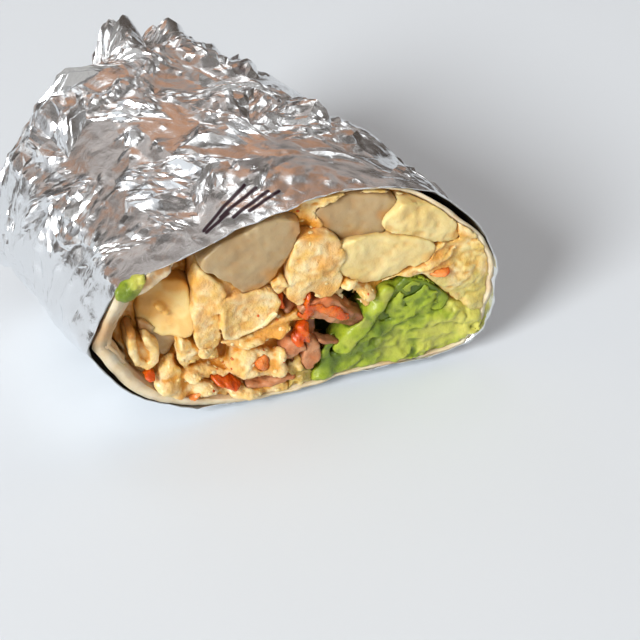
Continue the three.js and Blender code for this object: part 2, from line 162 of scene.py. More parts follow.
def bumped(tree: Tree, height: Socket, distance: float, **inputs) -> Socket:
    """The normal of a surface raised by a height times a distance."""
    inputs = {"Height": height, "Distance": distance, **inputs}
    return add_node(tree, "ShaderNodeBump", inputs).outputs["Normal"]


def maths(tree: Tree, operation: str, a: Socket, b: Socket | float) -> Socket:
    """The result of an operation on two numbers."""
    return add_node(tree, "ShaderNodeMath", {0: a, 1: b}, operation=operation).outputs["Value"]


def vector_maths(tree: Tree, operation: str, *values) -> Socket:
    """The result of an operation on vectors."""
    keys = (0, "Scale") if operation == "SCALE" else (0, 1, 2)
    node = add_node(tree, "ShaderNodeVectorMath", dict(zip(keys, values)), operation=operation)
    return node.outputs["Value" if operation in ("DOT_PRODUCT", "DISTANCE") else "Vector"]


def make_piece(
    name: str,
    points: np.ndarray,
    faces: np.ndarray,
    material: bpy.types.Material,
    values: dict[str, np.ndarray] | None = None,
) -> bpy.types.Object:
    """Make a smooth-shaded mesh object.

    Args:
        name: The piece's name.
        points: Its points in the part's axes, in millimetres.
        faces: Its faces as rows of point numbers, all with as many corners.
        material: Its material.
        values: A number for each point, by attribute name.

    Returns:
        The object.
    """
    mesh = bpy.data.meshes.new(name)
    count, corners = faces.shape
    mesh.vertices.add(len(points))
    mesh.vertices.foreach_set("co", (points * MM).astype(np.float32).ravel())
    mesh.loops.add(count * corners)
    mesh.loops.foreach_set("vertex_index", faces.astype(np.int32).ravel())
    mesh.polygons.add(count)
    mesh.polygons.foreach_set("loop_start", np.arange(0, count * corners, corners, dtype=np.int32))
    mesh.update(calc_edges=True)
    mesh.validate()
    mesh.shade_smooth()
    for key, value in (values or {}).items():
        attribute = mesh.attributes.new(key, "FLOAT", "POINT")
        attribute.data.foreach_set("value", value.astype(np.float32))
    mesh.materials.append(material)
    piece = bpy.data.objects.new(name, mesh)
    bpy.context.scene.collection.objects.link(piece)
    return piece


class Slot(Enum):
    """The slots of material."""

    FOIL = "foil"
    TORTILLA = "tortilla"
    EGG = "egg"
    POTATO = "potato"
    GOLDEN_POTATO = "golden_potato"
    AVOCADO = "avocado"
    HAM = "ham"
    TOMATO = "tomato"


def install(piece: bpy.types.Object, slot: Slot, *nodes: str) -> None:
    """Fix a finished piece to the part.

    Args:
        piece: The piece.
        slot: The slot of its material. It is not used.
        nodes: The solids that it stands for.
    """
    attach(piece, BODY)
    if nodes:
        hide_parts(*nodes)
    LOG.info("%s: %d faces", piece.name, len(piece.data.polygons))


def blended(shares: list[np.ndarray], value_at: Callable[[tuple[int, ...]], np.ndarray]) -> np.ndarray:
    """Blend the values at the eight corners of each point's cell.

    Args:
        shares: How far each point lies through its cell, along each axis.
        value_at: Gives the values at a corner, named by 0 or 1 for each axis.

    Returns:
        A value for each point.
    """
    total = np.zeros(shares[0].shape)
    for corner in itertools.product((0, 1), repeat=3):
        weight = np.ones(shares[0].shape)
        for share, upper in zip(shares, corner):
            weight = weight * (share if upper else 1 - share)
        total += weight * value_at(corner)
    return total


def turned_by(u: np.ndarray, v: np.ndarray, degrees: float) -> tuple[np.ndarray, np.ndarray]:
    """Coordinates along two axes that are turned by an angle."""
    turn = math.radians(degrees)
    return u * math.cos(turn) + v * math.sin(turn), -u * math.sin(turn) + v * math.cos(turn)


def off_line(u: np.ndarray, v: np.ndarray, start: tuple, end: tuple) -> tuple[np.ndarray, np.ndarray]:
    """How far points lie from the nearest point of a straight line between two ends, along each axis."""
    (au, av), (bu, bv) = start, end
    side_u, side_v = bu - au, bv - av
    share = np.clip(((u - au) * side_u + (v - av) * side_v) / (side_u**2 + side_v**2), 0, 1)
    return u - au - share * side_u, v - av - share * side_v


class Noise:
    """Smooth seeded noise in three dimensions, from -1 to 1."""

    SIZE = 32
    SHIFT = 7.3

    def __init__(self, seed: int) -> None:
        """Draw the lattice of values."""
        draw = np.random.default_rng(seed)
        self.lattice = draw.uniform(-1, 1, (self.SIZE,) * 3).astype(np.float32)

    def at(self, points: np.ndarray, size: float) -> np.ndarray:
        """The noise at some points, with features of a size in the points' unit."""
        scaled = points / size + self.SHIFT
        base = np.floor(scaled).astype(np.int64)
        share = scaled - base
        share = share * share * (3 - 2 * share)

        def value_at(corner: tuple[int, ...]) -> np.ndarray:
            index = (base + np.array(corner)) % self.SIZE
            return self.lattice[index[..., 0], index[..., 1], index[..., 2]]

        return blended([share[..., axis] for axis in range(3)], value_at)

    def bend(self, points: np.ndarray, size: float, orders: tuple[list[int], ...]) -> np.ndarray:
        """A push along each axis: the noise read with the coordinates in another order for each."""
        return np.stack([self.at(points[..., order], size) for order in orders], axis=-1)

    def lumps(self, points: np.ndarray, size: float) -> np.ndarray:
        """Rounded bumps of a size with sharp valleys between them, from 0 in a valley up to about 1."""
        return np.abs(self.at(points, size) + 0.5 * self.at(points[..., [2, 0, 1]], size * 0.53))


# ---- The roll surface that every layer follows ----


@dataclass(frozen=True)
class Roll:
    """The body of the roll: a rounded section that changes from the cut to the closed end."""

    width: float = 80.0
    thickness: float = 55.0
    pressed: float = 2.0
    length: float = 70.0
    slant: float = math.radians(25)
    end_width: float = 0.83
    end_thickness: float = 1.1
    end_rounding: float = 0.2
    roundness: float = 3.2
    oval: float = 2.2
    flare_reach: float = 0.4
    cut_centre: tuple[float, float] = (0.773, -27.199)
    rim: tuple[tuple[float, float], ...] = (
        (0, -1.7), (9, -2.6), (14, -2.8), (26, -2.0), (36, -0.4), (45, 0.8), (58, 1.2), (72, 1.0),
        (94, 0.5), (112, 0.0), (131, -0.4), (143, 0.2), (150, 1.6), (155, 2.4), (161, 1.5), (166, 1.1),
        (171, 1.5), (175, 2.8), (178, 2.9), (182, 1.6), (190, -0.1), (200, -0.8), (211, -1.5), (222, -2.2),
        (234, -2.9), (248, -3.5), (270, -3.9), (287, -4.9), (300, -5.3), (308, -5.1), (314, -4.2),
        (320, -2.2), (328, -0.3), (335, 0.0), (344, -1.1), (353, -1.8),
    )

    def squareness(self, angle: np.ndarray, reach: np.ndarray) -> np.ndarray:
        """The superellipse exponent of the section: boxy at the lower right, slack at the upper left."""
        boxy = 0.9 * hump(angle, -40, 50)
        slack = mix(0.15, 0.4, reach) * hump(angle, 138, 50)
        return self.oval + boxy - slack

    def radius(self, angle: np.ndarray, reach: np.ndarray, inset: Numbers) -> np.ndarray:
        """The section's radius at an angle round the roll and a share of its length."""
        half_width = (self.width / 2) * mix(1, self.end_width, reach) - inset
        half_height = (self.thickness / 2) * mix(1, self.end_thickness, reach) - inset
        power = self.squareness(angle, reach)
        across = (np.abs(np.cos(angle)) / half_width) ** power
        upward = (np.abs(np.sin(angle)) / half_height) ** power
        return (across + upward) ** (-1 / power)

    def flare(self, angle: np.ndarray, along: np.ndarray) -> np.ndarray:
        """How far the wrap opens out at the cut, or is drawn in."""
        degrees, offsets = zip(*self.rim)
        fading = 1 - ease(along, 0, self.flare_reach)
        return np.interp(np.degrees(angle), degrees, offsets, period=360) * fading

    def middle(self, reach: np.ndarray) -> np.ndarray:
        """The height of the section's middle above the floor."""
        return (self.thickness / 2) * mix(1, self.end_thickness, reach) - self.pressed

    def points(
        self,
        angle: np.ndarray,
        along: np.ndarray,
        inset: Numbers = 0.0,
        push: Numbers = 0.0,
        start: Numbers = 0.0,
    ) -> np.ndarray:
        """Points of the surface, in the part's axes.

        Args:
            angle: Round the roll, from 0 at the right.
            along: From 0 at the cut to 1 in the middle of the closed end.
            inset: How far below the surface the layer lies.
            push: How far the point is moved out, along the surface's own direction.
            start: How far the layer begins behind the cut.

        Returns:
            The points, one row each.
        """
        straight = 1 - self.end_rounding
        tip = np.clip((along - straight) / self.end_rounding, 0, 1) * np.pi / 2
        reach = np.where(
            along <= straight, along, straight + self.end_rounding * np.sin(tip) ** (2 / self.roundness)
        )
        spread = np.clip(np.cos(tip), 0, 1) ** (2 / self.roundness)
        radius = self.radius(angle, reach, inset) * spread + push * np.cos(tip)
        x = radius * np.cos(angle)
        z = np.maximum(inset, self.middle(reach) + radius * np.sin(angle))
        y = mix(start - x * math.tan(self.slant), self.length - inset + push * np.sin(tip), reach)
        return np.stack([x + self.cut_centre[0], y + self.cut_centre[1], z], axis=-1)

    def from_cut(self, points: np.ndarray) -> np.ndarray:
        """Turn points (u, d, v) on the cut's axes into the part's axes."""
        u, d, v = points[..., 0], points[..., 1], points[..., 2]
        x = u * math.cos(self.slant) + d * math.sin(self.slant) + self.cut_centre[0]
        y = -u * math.sin(self.slant) + d * math.cos(self.slant) + self.cut_centre[1]
        return np.stack([x, y, v], axis=-1)

    def to_cut(self, points: np.ndarray) -> np.ndarray:
        """Turn points in the part's axes into (u, d, v) on the cut's axes."""
        x, y = points[..., 0] - self.cut_centre[0], points[..., 1] - self.cut_centre[1]
        u = x * math.cos(self.slant) - y * math.sin(self.slant)
        d = x * math.sin(self.slant) + y * math.cos(self.slant)
        return np.stack([u, d, points[..., 2]], axis=-1)

    def depth_inside(self, points: np.ndarray, inset_at: Callable[..., np.ndarray]) -> np.ndarray:
        """How far points lie inside a layer.

        Args:
            points: Points (u, d, v) on the cut's axes.
            inset_at: The layer's inset at an angle round the roll and a share of its length.

        Returns:
            The depth, negative outside.
        """
        u, d, v = points[..., 0], points[..., 1], points[..., 2]
        x = u * math.cos(self.slant) + d * math.sin(self.slant)
        y = -u * math.sin(self.slant) + d * math.cos(self.slant)
        cut = -x * math.tan(self.slant)
        reach = np.clip((y - cut) / (self.length - cut), 0, 1)
        height = v - self.middle(reach)
        angle = np.arctan2(height, x)
        inset = inset_at(angle, reach)
        edge = self.radius(angle, reach, inset) + self.flare(angle, reach)
        return np.minimum(edge - np.hypot(x, height), v - inset)


# ---- Finishes ----


@dataclass(frozen=True)
class Finish(ABC):
    """A material: its name and the nodes that dress its shader."""

    name: str

    def material(self) -> bpy.types.Material:
        """Build the material."""
        material = bpy.data.materials.new(self.name)
        material.use_nodes = True
        tree = material.node_tree
        self.dress(tree, tree.nodes["Principled BSDF"])
        return material

    @abstractmethod
    def dress(self, tree: Tree, shader: bpy.types.Node) -> None:
        """Add the finish's own nodes and set its shader."""


@dataclass(frozen=True)
class Food(Finish):
    """Cooked food: soft, moist and a little see-through, its colour never even.

    Attributes:
        base: The food's own colour.
        second: The colour of the patches in it.
        stain: The colour of sauce, and of the painted shade that tints the hollows, where a point's attribute
            "stain" says.
        deep: The colour of painted shade in crevices and deep inside the roll, where "deep" says.
        patch: The size of the patches.
        grain: The size of the grain, and relief its height.
        radius: How far red, green and blue light run under the skin.
        coat: How wet it is.
        smear: The colour that the knife has wiped over it from its neighbours, where "smear" says.
    """

    base: str
    second: str
    stain: str
    deep: str
    patch: float
    grain: float
    relief: float
    roughness: float
    subsurface: float
    radius: tuple[float, float, float]
    coat: float = 0.0
    coat_roughness: float = 0.12
    index: float = 1.4
    smear: str = "#c9bf62"

    def dress(self, tree: Tree, shader: bpy.types.Node) -> None:
        """Mix the colours and add the grain."""
        place = add_node(tree, "ShaderNodeTexCoord").outputs["Object"]
        patches = noise_texture(tree, place, 1 / (self.patch * MM), 4.0)
        colour = mixed(tree, remapped(tree, patches, (0.35, 0.65)), linear(self.base), linear(self.second))
        # The deep attribute lays painted shade; the stain attribute lays sauce, and painted shade in the
        # hollows.
        for attribute, tint in (("stain", self.stain), ("smear", self.smear), ("deep", self.deep)):
            amount = add_node(tree, "ShaderNodeAttribute", attribute_name=attribute)
            colour = mixed(tree, amount.outputs["Fac"], colour, linear(tint))
        grain = noise_texture(tree, place, 1 / (self.grain * MM), 5.0, Roughness=0.6)
        gloss = remapped(tree, grain, (0.3, 0.7), (self.roughness - 0.1, self.roughness + 0.1))
        normal = bumped(tree, grain, self.relief * MM)
        set_inputs(tree, shader, {
            "Base Color": colour, "Normal": normal, "Roughness": gloss, "IOR": self.index,
            "Subsurface Weight": self.subsurface, "Subsurface Radius": self.radius, "Subsurface Scale": MM,
            "Coat Weight": self.coat, "Coat Roughness": self.coat_roughness,
        })


@dataclass(frozen=True)
class HouseholdFoil(Finish):
    """Crumpled household aluminium foil: a mirror broken into facets, with fine wrinkles all over."""

    colour: str = "#eceef0"
    roughness: float = 0.19
    wrinkle: float = 1.8
    wrinkle_relief: float = 0.09
    pressed: float = 0.35
    pressed_relief: float = 0.008
    # The colour of the painted shade on the inner wall, inside the mouth.
    ink: str = "#33222a"
    painted_shade: str = "#5c564a"
    strokes: tuple[tuple[float, float, float, float], ...] = (
        (-17.3, -16.3, -5.4, -14.8), (-17.2, -17.0, -12.0, -17.4), (-13.4, -16.9, -4.2, -16.9),
        (-11.8, -18.9, -3.0, -19.1), (-8.7, -20.2, -1.4, -20.6),
    )
    stroke_width: float = 0.9
    strokes_above: float = 30.0

    def dress(self, tree: Tree, shader: bpy.types.Node) -> None:
        """Add the wrinkles, the marker's strokes, and the painted shade that the attribute "inside" gives."""
        place = add_node(tree, "ShaderNodeTexCoord").outputs["Object"]
        wrinkles = noise_texture(tree, place, 1 / (self.wrinkle * MM), 3.0, Distortion=0.6)
        fine = noise_texture(tree, place, 1 / (self.pressed * MM), 2.0)
        normal = bumped(tree, wrinkles, self.wrinkle_relief * MM)
        normal = bumped(tree, fine, self.pressed_relief * MM, Normal=normal)
        haze = remapped(tree, wrinkles, to=(self.roughness - 0.06, self.roughness + 0.1))
        ink = self.drawn(tree, place)
        inside = add_node(tree, "ShaderNodeAttribute", attribute_name="inside").outputs["Fac"]
        colour = mixed(tree, ink, linear(self.colour), linear(self.ink))
        colour = mixed(tree, inside, colour, linear(self.painted_shade))
        metal = remapped(tree, ink, to=(1.0, 0.35))
        inputs = {"Base Color": colour, "Metallic": metal, "Normal": normal, "Roughness": haze}
        set_inputs(tree, shader, inputs)

    def drawn(self, tree: Tree, place: Socket) -> Socket:
        """Where a felt marker has drawn its strokes on the upper side: 1 on a stroke, 0 off it."""
        flat = vector_maths(tree, "MULTIPLY", place, (1.0, 1.0, 0.0))
        nearest = 1.0
        for x0, y0, x1, y1 in self.strokes:
            run = Vector((x1 - x0, y1 - y0, 0)) * MM
            off = vector_maths(tree, "SUBTRACT", flat, Vector((x0, y0, 0)) * MM)
            share = vector_maths(tree, "DOT_PRODUCT", off, run / run.length_squared)
            share = add_node(tree, "ShaderNodeClamp", {"Value": share}).outputs["Result"]
            gap = vector_maths(tree, "DISTANCE", off, vector_maths(tree, "SCALE", run, share))
            nearest = maths(tree, "MINIMUM", gap, nearest)
        half = self.stroke_width * MM / 2
        mark = remapped(tree, nearest, (half * 1.3, half * 0.7))
        height = add_node(tree, "ShaderNodeSeparateXYZ", {"Vector": place}).outputs["Z"]
        upper = maths(tree, "GREATER_THAN", height, self.strokes_above * MM)
        return maths(tree, "MULTIPLY", mark, upper)


@dataclass(frozen=True)
class StudioFloor(Finish):
    """Matt painted board, pale and even."""

    colour: str = "#dde4ea"

    def dress(self, tree: Tree, shader: bpy.types.Node) -> None:
        """Set the plain paint."""
        inputs = {"Base Color": linear(self.colour), "Roughness": 0.9, "Specular IOR Level": 0.1}
        set_inputs(tree, shader, inputs)


# A bright mirror broken into facets, with painted shade greying it inside the mouth, where the cut shades it.
FOIL = HouseholdFoil("household_aluminium_foil")
# Pale yellow and soft, with a wet gleam, orange in its hollows with sauce and painted shade.
EGG = Food(
    "scrambled_egg", base="#f5e0ac", second="#eec26c", stain="#e09a34", deep="#a8681e", patch=3.0,
    grain=0.8, relief=0.4, roughness=0.4, subsurface=0.3, radius=(1.6, 1.1, 0.5), coat=0.35,
)
# Dull beige, smooth and moist, a little see-through at its edges.
POTATO = Food(
    "boiled_potato", base="#bba57d", second="#b29468", stain="#c68d48", deep="#96602e", patch=9.0,
    grain=1.4, relief=0.1, roughness=0.36, subsurface=0.5, radius=(3.0, 2.2, 1.2), coat=0.3,
)
# Pale gold and almost matt, smoother than the egg beside it.
GOLDEN_POTATO = Food(
    "boiled_yellow_potato", base="#ebd79a", second="#e6cb84", stain="#dda24a", deep="#a46a1c", patch=6.0,
    grain=0.8, relief=0.12, roughness=0.5, subsurface=0.4, radius=(2.4, 1.7, 0.8), coat=0.1,
)
# Creamy yellow green with a soft gleam, olive in its hollows with painted shade.
AVOCADO = Food(
    "mashed_avocado", base="#aab736", second="#93a728", stain="#58701a", deep="#3a510c", patch=5.0,
    grain=1.0, relief=0.25, roughness=0.34, subsurface=0.3, radius=(1.0, 1.3, 0.4), coat=0.2,
    smear="#cfca62",
)
# Pink brown and moist, with painted shade dark between its folds.
HAM = Food(
    "cooked_ham", base="#d09870", second="#b87c50", stain="#d0733c", deep="#5a2c14", patch=2.4, grain=0.7,
    relief=0.25, roughness=0.4, subsurface=0.3, radius=(1.6, 0.8, 0.5), coat=0.2, smear="#8a5236",
)
# Wet orange red, the strongest colour of the cut.
SALSA = Food(
    "tomato_salsa", base="#da660c", second="#d4500c", stain="#c6451a", deep="#6a1608", patch=1.8, grain=0.6,
    relief=0.25, roughness=0.25, subsurface=0.3, radius=(1.4, 0.5, 0.25), coat=0.4, smear="#f0964a",
)
# Dry and cream, with toasted brown spots and no gleam.
TORTILLA = Food(
    "baked_flour_tortilla", base="#eadcc0", second="#ddc7a0", stain="#c98f4d", deep="#7b4417", patch=4.0,
    grain=0.8, relief=0.15, roughness=0.6, subsurface=0.3, radius=(1.8, 1.2, 0.7),
)


# ---- Foil ----


@dataclass(frozen=True)
class Pleat:
    """A long sharp crease between two places on the wrap, each an angle in degrees and a share along."""

    start: tuple[float, float]
    end: tuple[float, float]
    height: float
    width: float

    MM_PER_DEGREE = 0.58
    MM_ALONG = 75.0

    def lift(self, angle: np.ndarray, along: np.ndarray) -> np.ndarray:
        """How far the crease raises the foil, falling straight to nothing at its edges."""
        (a0, s0), (a1, s1) = self.start, self.end
        turned = np.remainder(np.degrees(angle) - a0 + 180, 360) - 180
        across, back = turned * self.MM_PER_DEGREE, (along - s0) * self.MM_ALONG
        run = (a1 - a0) * self.MM_PER_DEGREE, (s1 - s0) * self.MM_ALONG
        off = np.hypot(*off_line(across, back, (0, 0), run))
        return 0.7 * self.height * np.maximum(0, 1 - off / self.width)


@dataclass
class Sheet:
    """The foil at one level of crumpling.

    Attributes:
        turn: Each corner's direction round the roll, as a cosine and a sine.
        along: Its place from the cut to the closed end.
        crumple: How far it is pushed out.
        triangles: The facets, as rows of three corner numbers.
    """

    turn: np.ndarray
    along: np.ndarray
    crumple: np.ndarray
    triangles: np.ndarray

    def angle(self) -> np.ndarray:
        """Each corner's angle round the roll."""
        return np.arctan2(self.turn[:, 1], self.turn[:, 0])


@dataclass
class FoilWrap:
    """The crumpled foil cup, open at the cut."""

    roll: Roll
    lip: float = 0.3
    wall: float = 0.9
    columns: int = 22
    rows: int = 6
    jitter: float = 0.4
    tips: tuple[float, ...] = (0, 18, 34, 49, 62, 73, 83)
    creases: tuple[float, ...] = (0.085, 0.075, 0.055, 0.03)
    tails: tuple[float, ...] = (1.0, 1.1, 1.2, 1.2)
    furrows: tuple[tuple[float, float], ...] = ((15.0, 1.1), (8.0, 0.75), (4.0, 0.35))
    inner_level: int = 2
    seed: int = 11
    busy_seed: int = 31
    furrow_seed: int = 40
    streak_seed: int = 52
    rim_waves: tuple[tuple[float, int, int], ...] = ((0.25, 9, 1), (0.2, 23, 4), (0.14, 61, 0))
    dent: float = 0.2
    give: float = 0.45
    taut: float = 0.12
    sharp: float = math.radians(14)
    pleats: tuple[Pleat, ...] = (
        Pleat((152, 0.04), (150, 0.9), 1.0, 2.6), Pleat((160, 0.12), (200, 0.2), 0.8, 2.2),
        Pleat((158, 0.26), (215, 0.3), 0.9, 2.4), Pleat((160, 0.36), (205, 0.46), 0.8, 2.0),
        Pleat((156, 0.52), (220, 0.5), 1.0, 2.6), Pleat((158, 0.64), (210, 0.7), 0.9, 2.2),
        Pleat((205, 0.08), (240, 0.2), 0.6, 2.0), Pleat((118, 0.34), (150, 0.22), 0.8, 2.2),
        Pleat((70, 0.4), (112, 0.46), 1.2, 3.0), Pleat((98, 0.5), (132, 0.62), 1.3, 3.2),
        Pleat((60, 0.58), (100, 0.64), 1.5, 3.4), Pleat((110, 0.74), (75, 0.8), 1.4, 3.0),
        Pleat((44, 0.1), (60, 0.5), 0.9, 2.6), Pleat((64, 0.2), (86, 0.3), 0.7, 2.2),
        Pleat((330, 0.1), (350, 0.7), 0.9, 2.6), Pleat((300, 0.3), (20, 0.45), 0.8, 2.4),
        Pleat((10, 0.6), (50, 0.75), 1.1, 2.8),
    )

    def swells(self, angle: np.ndarray, along: np.ndarray) -> np.ndarray:
        """The wrap's low swells, its two pinched corners, and where it stands off at the cut."""
        shoulder = 2.6 * hump(angle, 42, 40) * swell(along, 0.42, 0.34)
        hollow = -0.9 * hump(angle, 100, 26) * swell(along, 0.5, 0.2)
        ripple = 0.5 * np.sin(3 * angle + 9 * along) + 0.4 * np.sin(5 * angle - 14 * along + 2)
        ears = swell(along, 0.89, 0.13) * (5.5 * hump(angle, 81, 13) + 4.5 * hump(angle, 57, 17))
        return shoulder + hollow + ripple * ease(along, 0.05, 0.4) + ears

    def start(self, angle: np.ndarray, along: np.ndarray) -> np.ndarray:
        """How far the rim lies behind the cut: drawn back over the right, and proud at the left and below."""
        back = 2.6 * hump(angle, 66, 44) - 1.2 * hump(angle, 130, 24) + 1.6 * hump(angle, 268, 66)
        wavy = sum(height * np.sin(count * angle + phase) for height, count, phase in self.rim_waves)
        return (back + wavy) * (1 - ease(along, 0, 0.35))

    def looseness(self, angle: np.ndarray, along: np.ndarray) -> np.ndarray:
        """How loose the foil is: taut near the cut on top, slack down the left, crumpled at the end."""
        top = hump(angle, 100, 75)
        rim = mix(0.8, 0.7, top)
        left = mix(1.0, 0.45, hump(angle, 185, 40))
        return mix(rim, 1.25, ease(along, 0.1, 0.5)) * mix(left, 1.0, ease(along, 0.6, 0.85))

    def lattice(self, draw: np.random.Generator) -> Sheet:
        """The coarsest facets, not crumpled yet."""
        straight = (1 - self.roll.end_rounding) * np.arange(self.rows) / self.rows
        cap = 1 - self.roll.end_rounding + self.roll.end_rounding * np.array(self.tips) / 90
        levels = np.concatenate([straight, cap])
        steps = np.diff(np.append(levels, 1.0))
        angles = []
        alongs = []
        for row, level in enumerate(levels):
            loose = 0.0 if row == 0 else self.jitter
            shift = draw.uniform(-loose, loose, (2, self.columns))
            angles.append((np.arange(self.columns) + 0.5 * (row % 2) + shift[0]) * 2 * np.pi / self.columns)
            alongs.append(level + steps[row] * shift[1] * (row < len(levels) - 1))
        triangles = []
        for row in range(len(levels) - 1):
            for column in range(self.columns):
                a = row * self.columns + column
                b = row * self.columns + (column + 1) % self.columns
                c, d = a + self.columns, b + self.columns
                if draw.random() < 0.5:
                    triangles += [(a, b, d), (a, d, c)]
                else:
                    triangles += [(a, b, c), (b, d, c)]
        pole = len(levels) * self.columns
        last = pole - self.columns
        triangles += [(last + c, last + (c + 1) % self.columns, pole) for c in range(self.columns)]
        angle = np.append(np.concatenate(angles), np.pi / 2)
        along = np.append(np.concatenate(alongs), 1.0)
        turn = np.stack([np.cos(angle), np.sin(angle)], axis=-1)
        turn[-1] = 0
        return Sheet(turn, along, np.zeros(len(angle)), np.array(triangles))

    def build(self) -> bpy.types.Object:
        """Crumple the wrap, level by level, and close it with a coarser inner wall."""
        draw = np.random.default_rng(self.seed)
        sheets = [self.lattice(draw)]
        for crease, tail in zip(self.creases, self.tails):
            sheets.append(self.split(sheets[-1], crease, tail, draw))
        return self.assemble(sheets[-1], sheets[self.inner_level])

    def split(self, sheet: Sheet, crease: float, tail: float, draw: np.random.Generator) -> Sheet:
        """Split each facet in four, and lift the new corners by a share of the edge's length.

        Args:
            sheet: The foil as it is.
            crease: How far a corner is lifted, as a share of its edge's length.
            tail: The power of the draw, above 1 where a few corners are lifted most.
            draw: The source of the lifts.

        Returns:
            The finer foil, the old corners first.
        """
        triangles = sheet.triangles
        sides = np.sort(np.concatenate([triangles[:, [0, 1]], triangles[:, [1, 2]], triangles[:, [2, 0]]]), 1)
        edges, which = np.unique(sides, axis=0, return_inverse=True)
        which = which.ravel()
        ends = self.place(Sheet(sheet.turn, sheet.along, 0 * sheet.crumple, triangles), 0.0)
        long = np.linalg.norm(ends[edges[:, 0]] - ends[edges[:, 1]], axis=1)
        turn = sheet.turn[edges].sum(axis=1)
        turn /= np.maximum(np.linalg.norm(turn, axis=1, keepdims=True), 1e-9)
        along = sheet.along[edges].mean(axis=1)
        height = draw.standard_normal(len(edges))
        height = np.sign(height) * np.abs(height) ** tail
        loose = self.looseness(np.arctan2(turn[:, 1], turn[:, 0]), along)
        busy = ease(Noise(self.busy_seed).at(ends[edges].mean(axis=1), 13), -0.35, 0.5)
        loose = loose * mix(0.35, 1.25, busy)
        crumple = sheet.crumple[edges].mean(axis=1) + crease * long * height * loose
        count = len(triangles)
        ab, bc, ca = (len(sheet.turn) + which[i * count : (i + 1) * count] for i in range(3))
        a, b, c = triangles.T
        quarters = ((a, ab, ca), (ab, b, bc), (ca, bc, c), (ab, bc, ca))
        return Sheet(
            np.concatenate([sheet.turn, turn]), np.concatenate([sheet.along, along]),
            np.concatenate([sheet.crumple, crumple]),
            np.concatenate([np.stack(quarter, axis=1) for quarter in quarters]),
        )

    def place(self, sheet: Sheet, depth: Numbers) -> np.ndarray:
        """Points of the wrap, a depth below its outer face."""
        angle, along = sheet.angle(), sheet.along
        free = ease(along, 0, self.taut)
        creased = sum(pleat.lift(angle, along) for pleat in self.pleats) * free
        flat = self.roll.points(angle, along)
        creased = creased + self.furrowed(flat) * self.looseness(angle, along)
        creased = (sheet.crumple + creased) * mix(0.4, 1.0, free)
        floor = -self.dent * ease(along, 0, 0.1)
        above = self.swells(angle, along) + creased - floor
        soft = mix(0.05, self.give, free)
        push = floor + soft * np.logaddexp(0, above / soft) + self.roll.flare(angle, along)
        push = push + self.streaks(flat) * ease(along, 0, 0.05)
        start = self.start(angle, along)
        return self.roll.points(angle, along, inset=depth, push=push, start=start)

    def streaks(self, points: np.ndarray) -> np.ndarray:
        """Fine slanting creases, which the tight foil has too."""
        slanted = points @ np.array([[0.75, -0.5, 0.3], [0.5, 0.3, -0.3], [0.3, 0.3, 0.8]])
        noise = Noise(self.streak_seed)
        return 0.3 * np.abs(noise.at(slanted, 4.5)) + 0.16 * np.abs(noise.at(slanted, 2.2))

    def furrowed(self, points: np.ndarray) -> np.ndarray:
        """Long sharp furrows that wander over the foil, of a few sizes."""
        total = np.zeros(points.shape[:-1])
        for number, (size, height) in enumerate(self.furrows):
            noise = Noise(self.furrow_seed + number)
            bend = noise.bend(points, size * 1.5, ([1, 2, 0], [2, 0, 1], [0, 2, 1]))
            bent = points + 0.4 * size * bend
            total += height * (np.abs(noise.at(bent, size)) - 0.3)
        return total

    def assemble(self, fine: Sheet, coarse: Sheet) -> bpy.types.Object:
        """Join the fine outer wall and the coarse inner wall at the rim."""
        outer = self.place(fine, 0.0)
        inner = self.place(coarse, mix(self.lip, self.wall, ease(coarse.along, 0, 0.06)))
        rim = np.flatnonzero(fine.along == 0)
        middle = np.array([self.roll.cut_centre[0], self.roll.middle(np.zeros(1))[0]])
        turned = np.arctan2(outer[rim, 2] - middle[1], outer[rim, 0] - middle[0])
        rim = rim[np.argsort(turned)]
        first = int(np.flatnonzero(rim < len(inner))[0])
        rim = np.roll(rim, -first)
        ratio = len(rim) // int((rim < len(inner)).sum())
        below = len(outer) + rim[::ratio]
        lip = []
        for i, (a, b) in enumerate(zip(rim, np.roll(rim, -1))):
            lip.append((b, a, below[((i + ratio // 2) // ratio) % len(below)]))
            if i % ratio == ratio // 2:
                lip.append((a, below[i // ratio], below[(i // ratio + 1) % len(below)]))
        walls = [fine.triangles, coarse.triangles[:, ::-1] + len(outer), np.array(lip)]
        walls = np.concatenate(walls)[:, ::-1]
        # Painted shade on the inner wall near the cut, where the mouth gapes at the left and at the upper
        # right.
        gaping = np.maximum(hump(coarse.angle(), 186, 46), hump(coarse.angle(), 32, 34))
        shade = (1 - ease(coarse.along, 0.1, 0.25)) * ease(gaping, 0, 0.35)
        painted_shade = {"inside": np.concatenate([np.zeros(len(outer)), shade])}
        piece = make_piece("foil", np.concatenate([outer, inner]), walls, FOIL.material(), painted_shade)
        piece.data.set_sharp_from_angle(angle=self.sharp)
        install(piece, Slot.FOIL, "foil_wrap")
        return piece


# ---- Tortilla ----


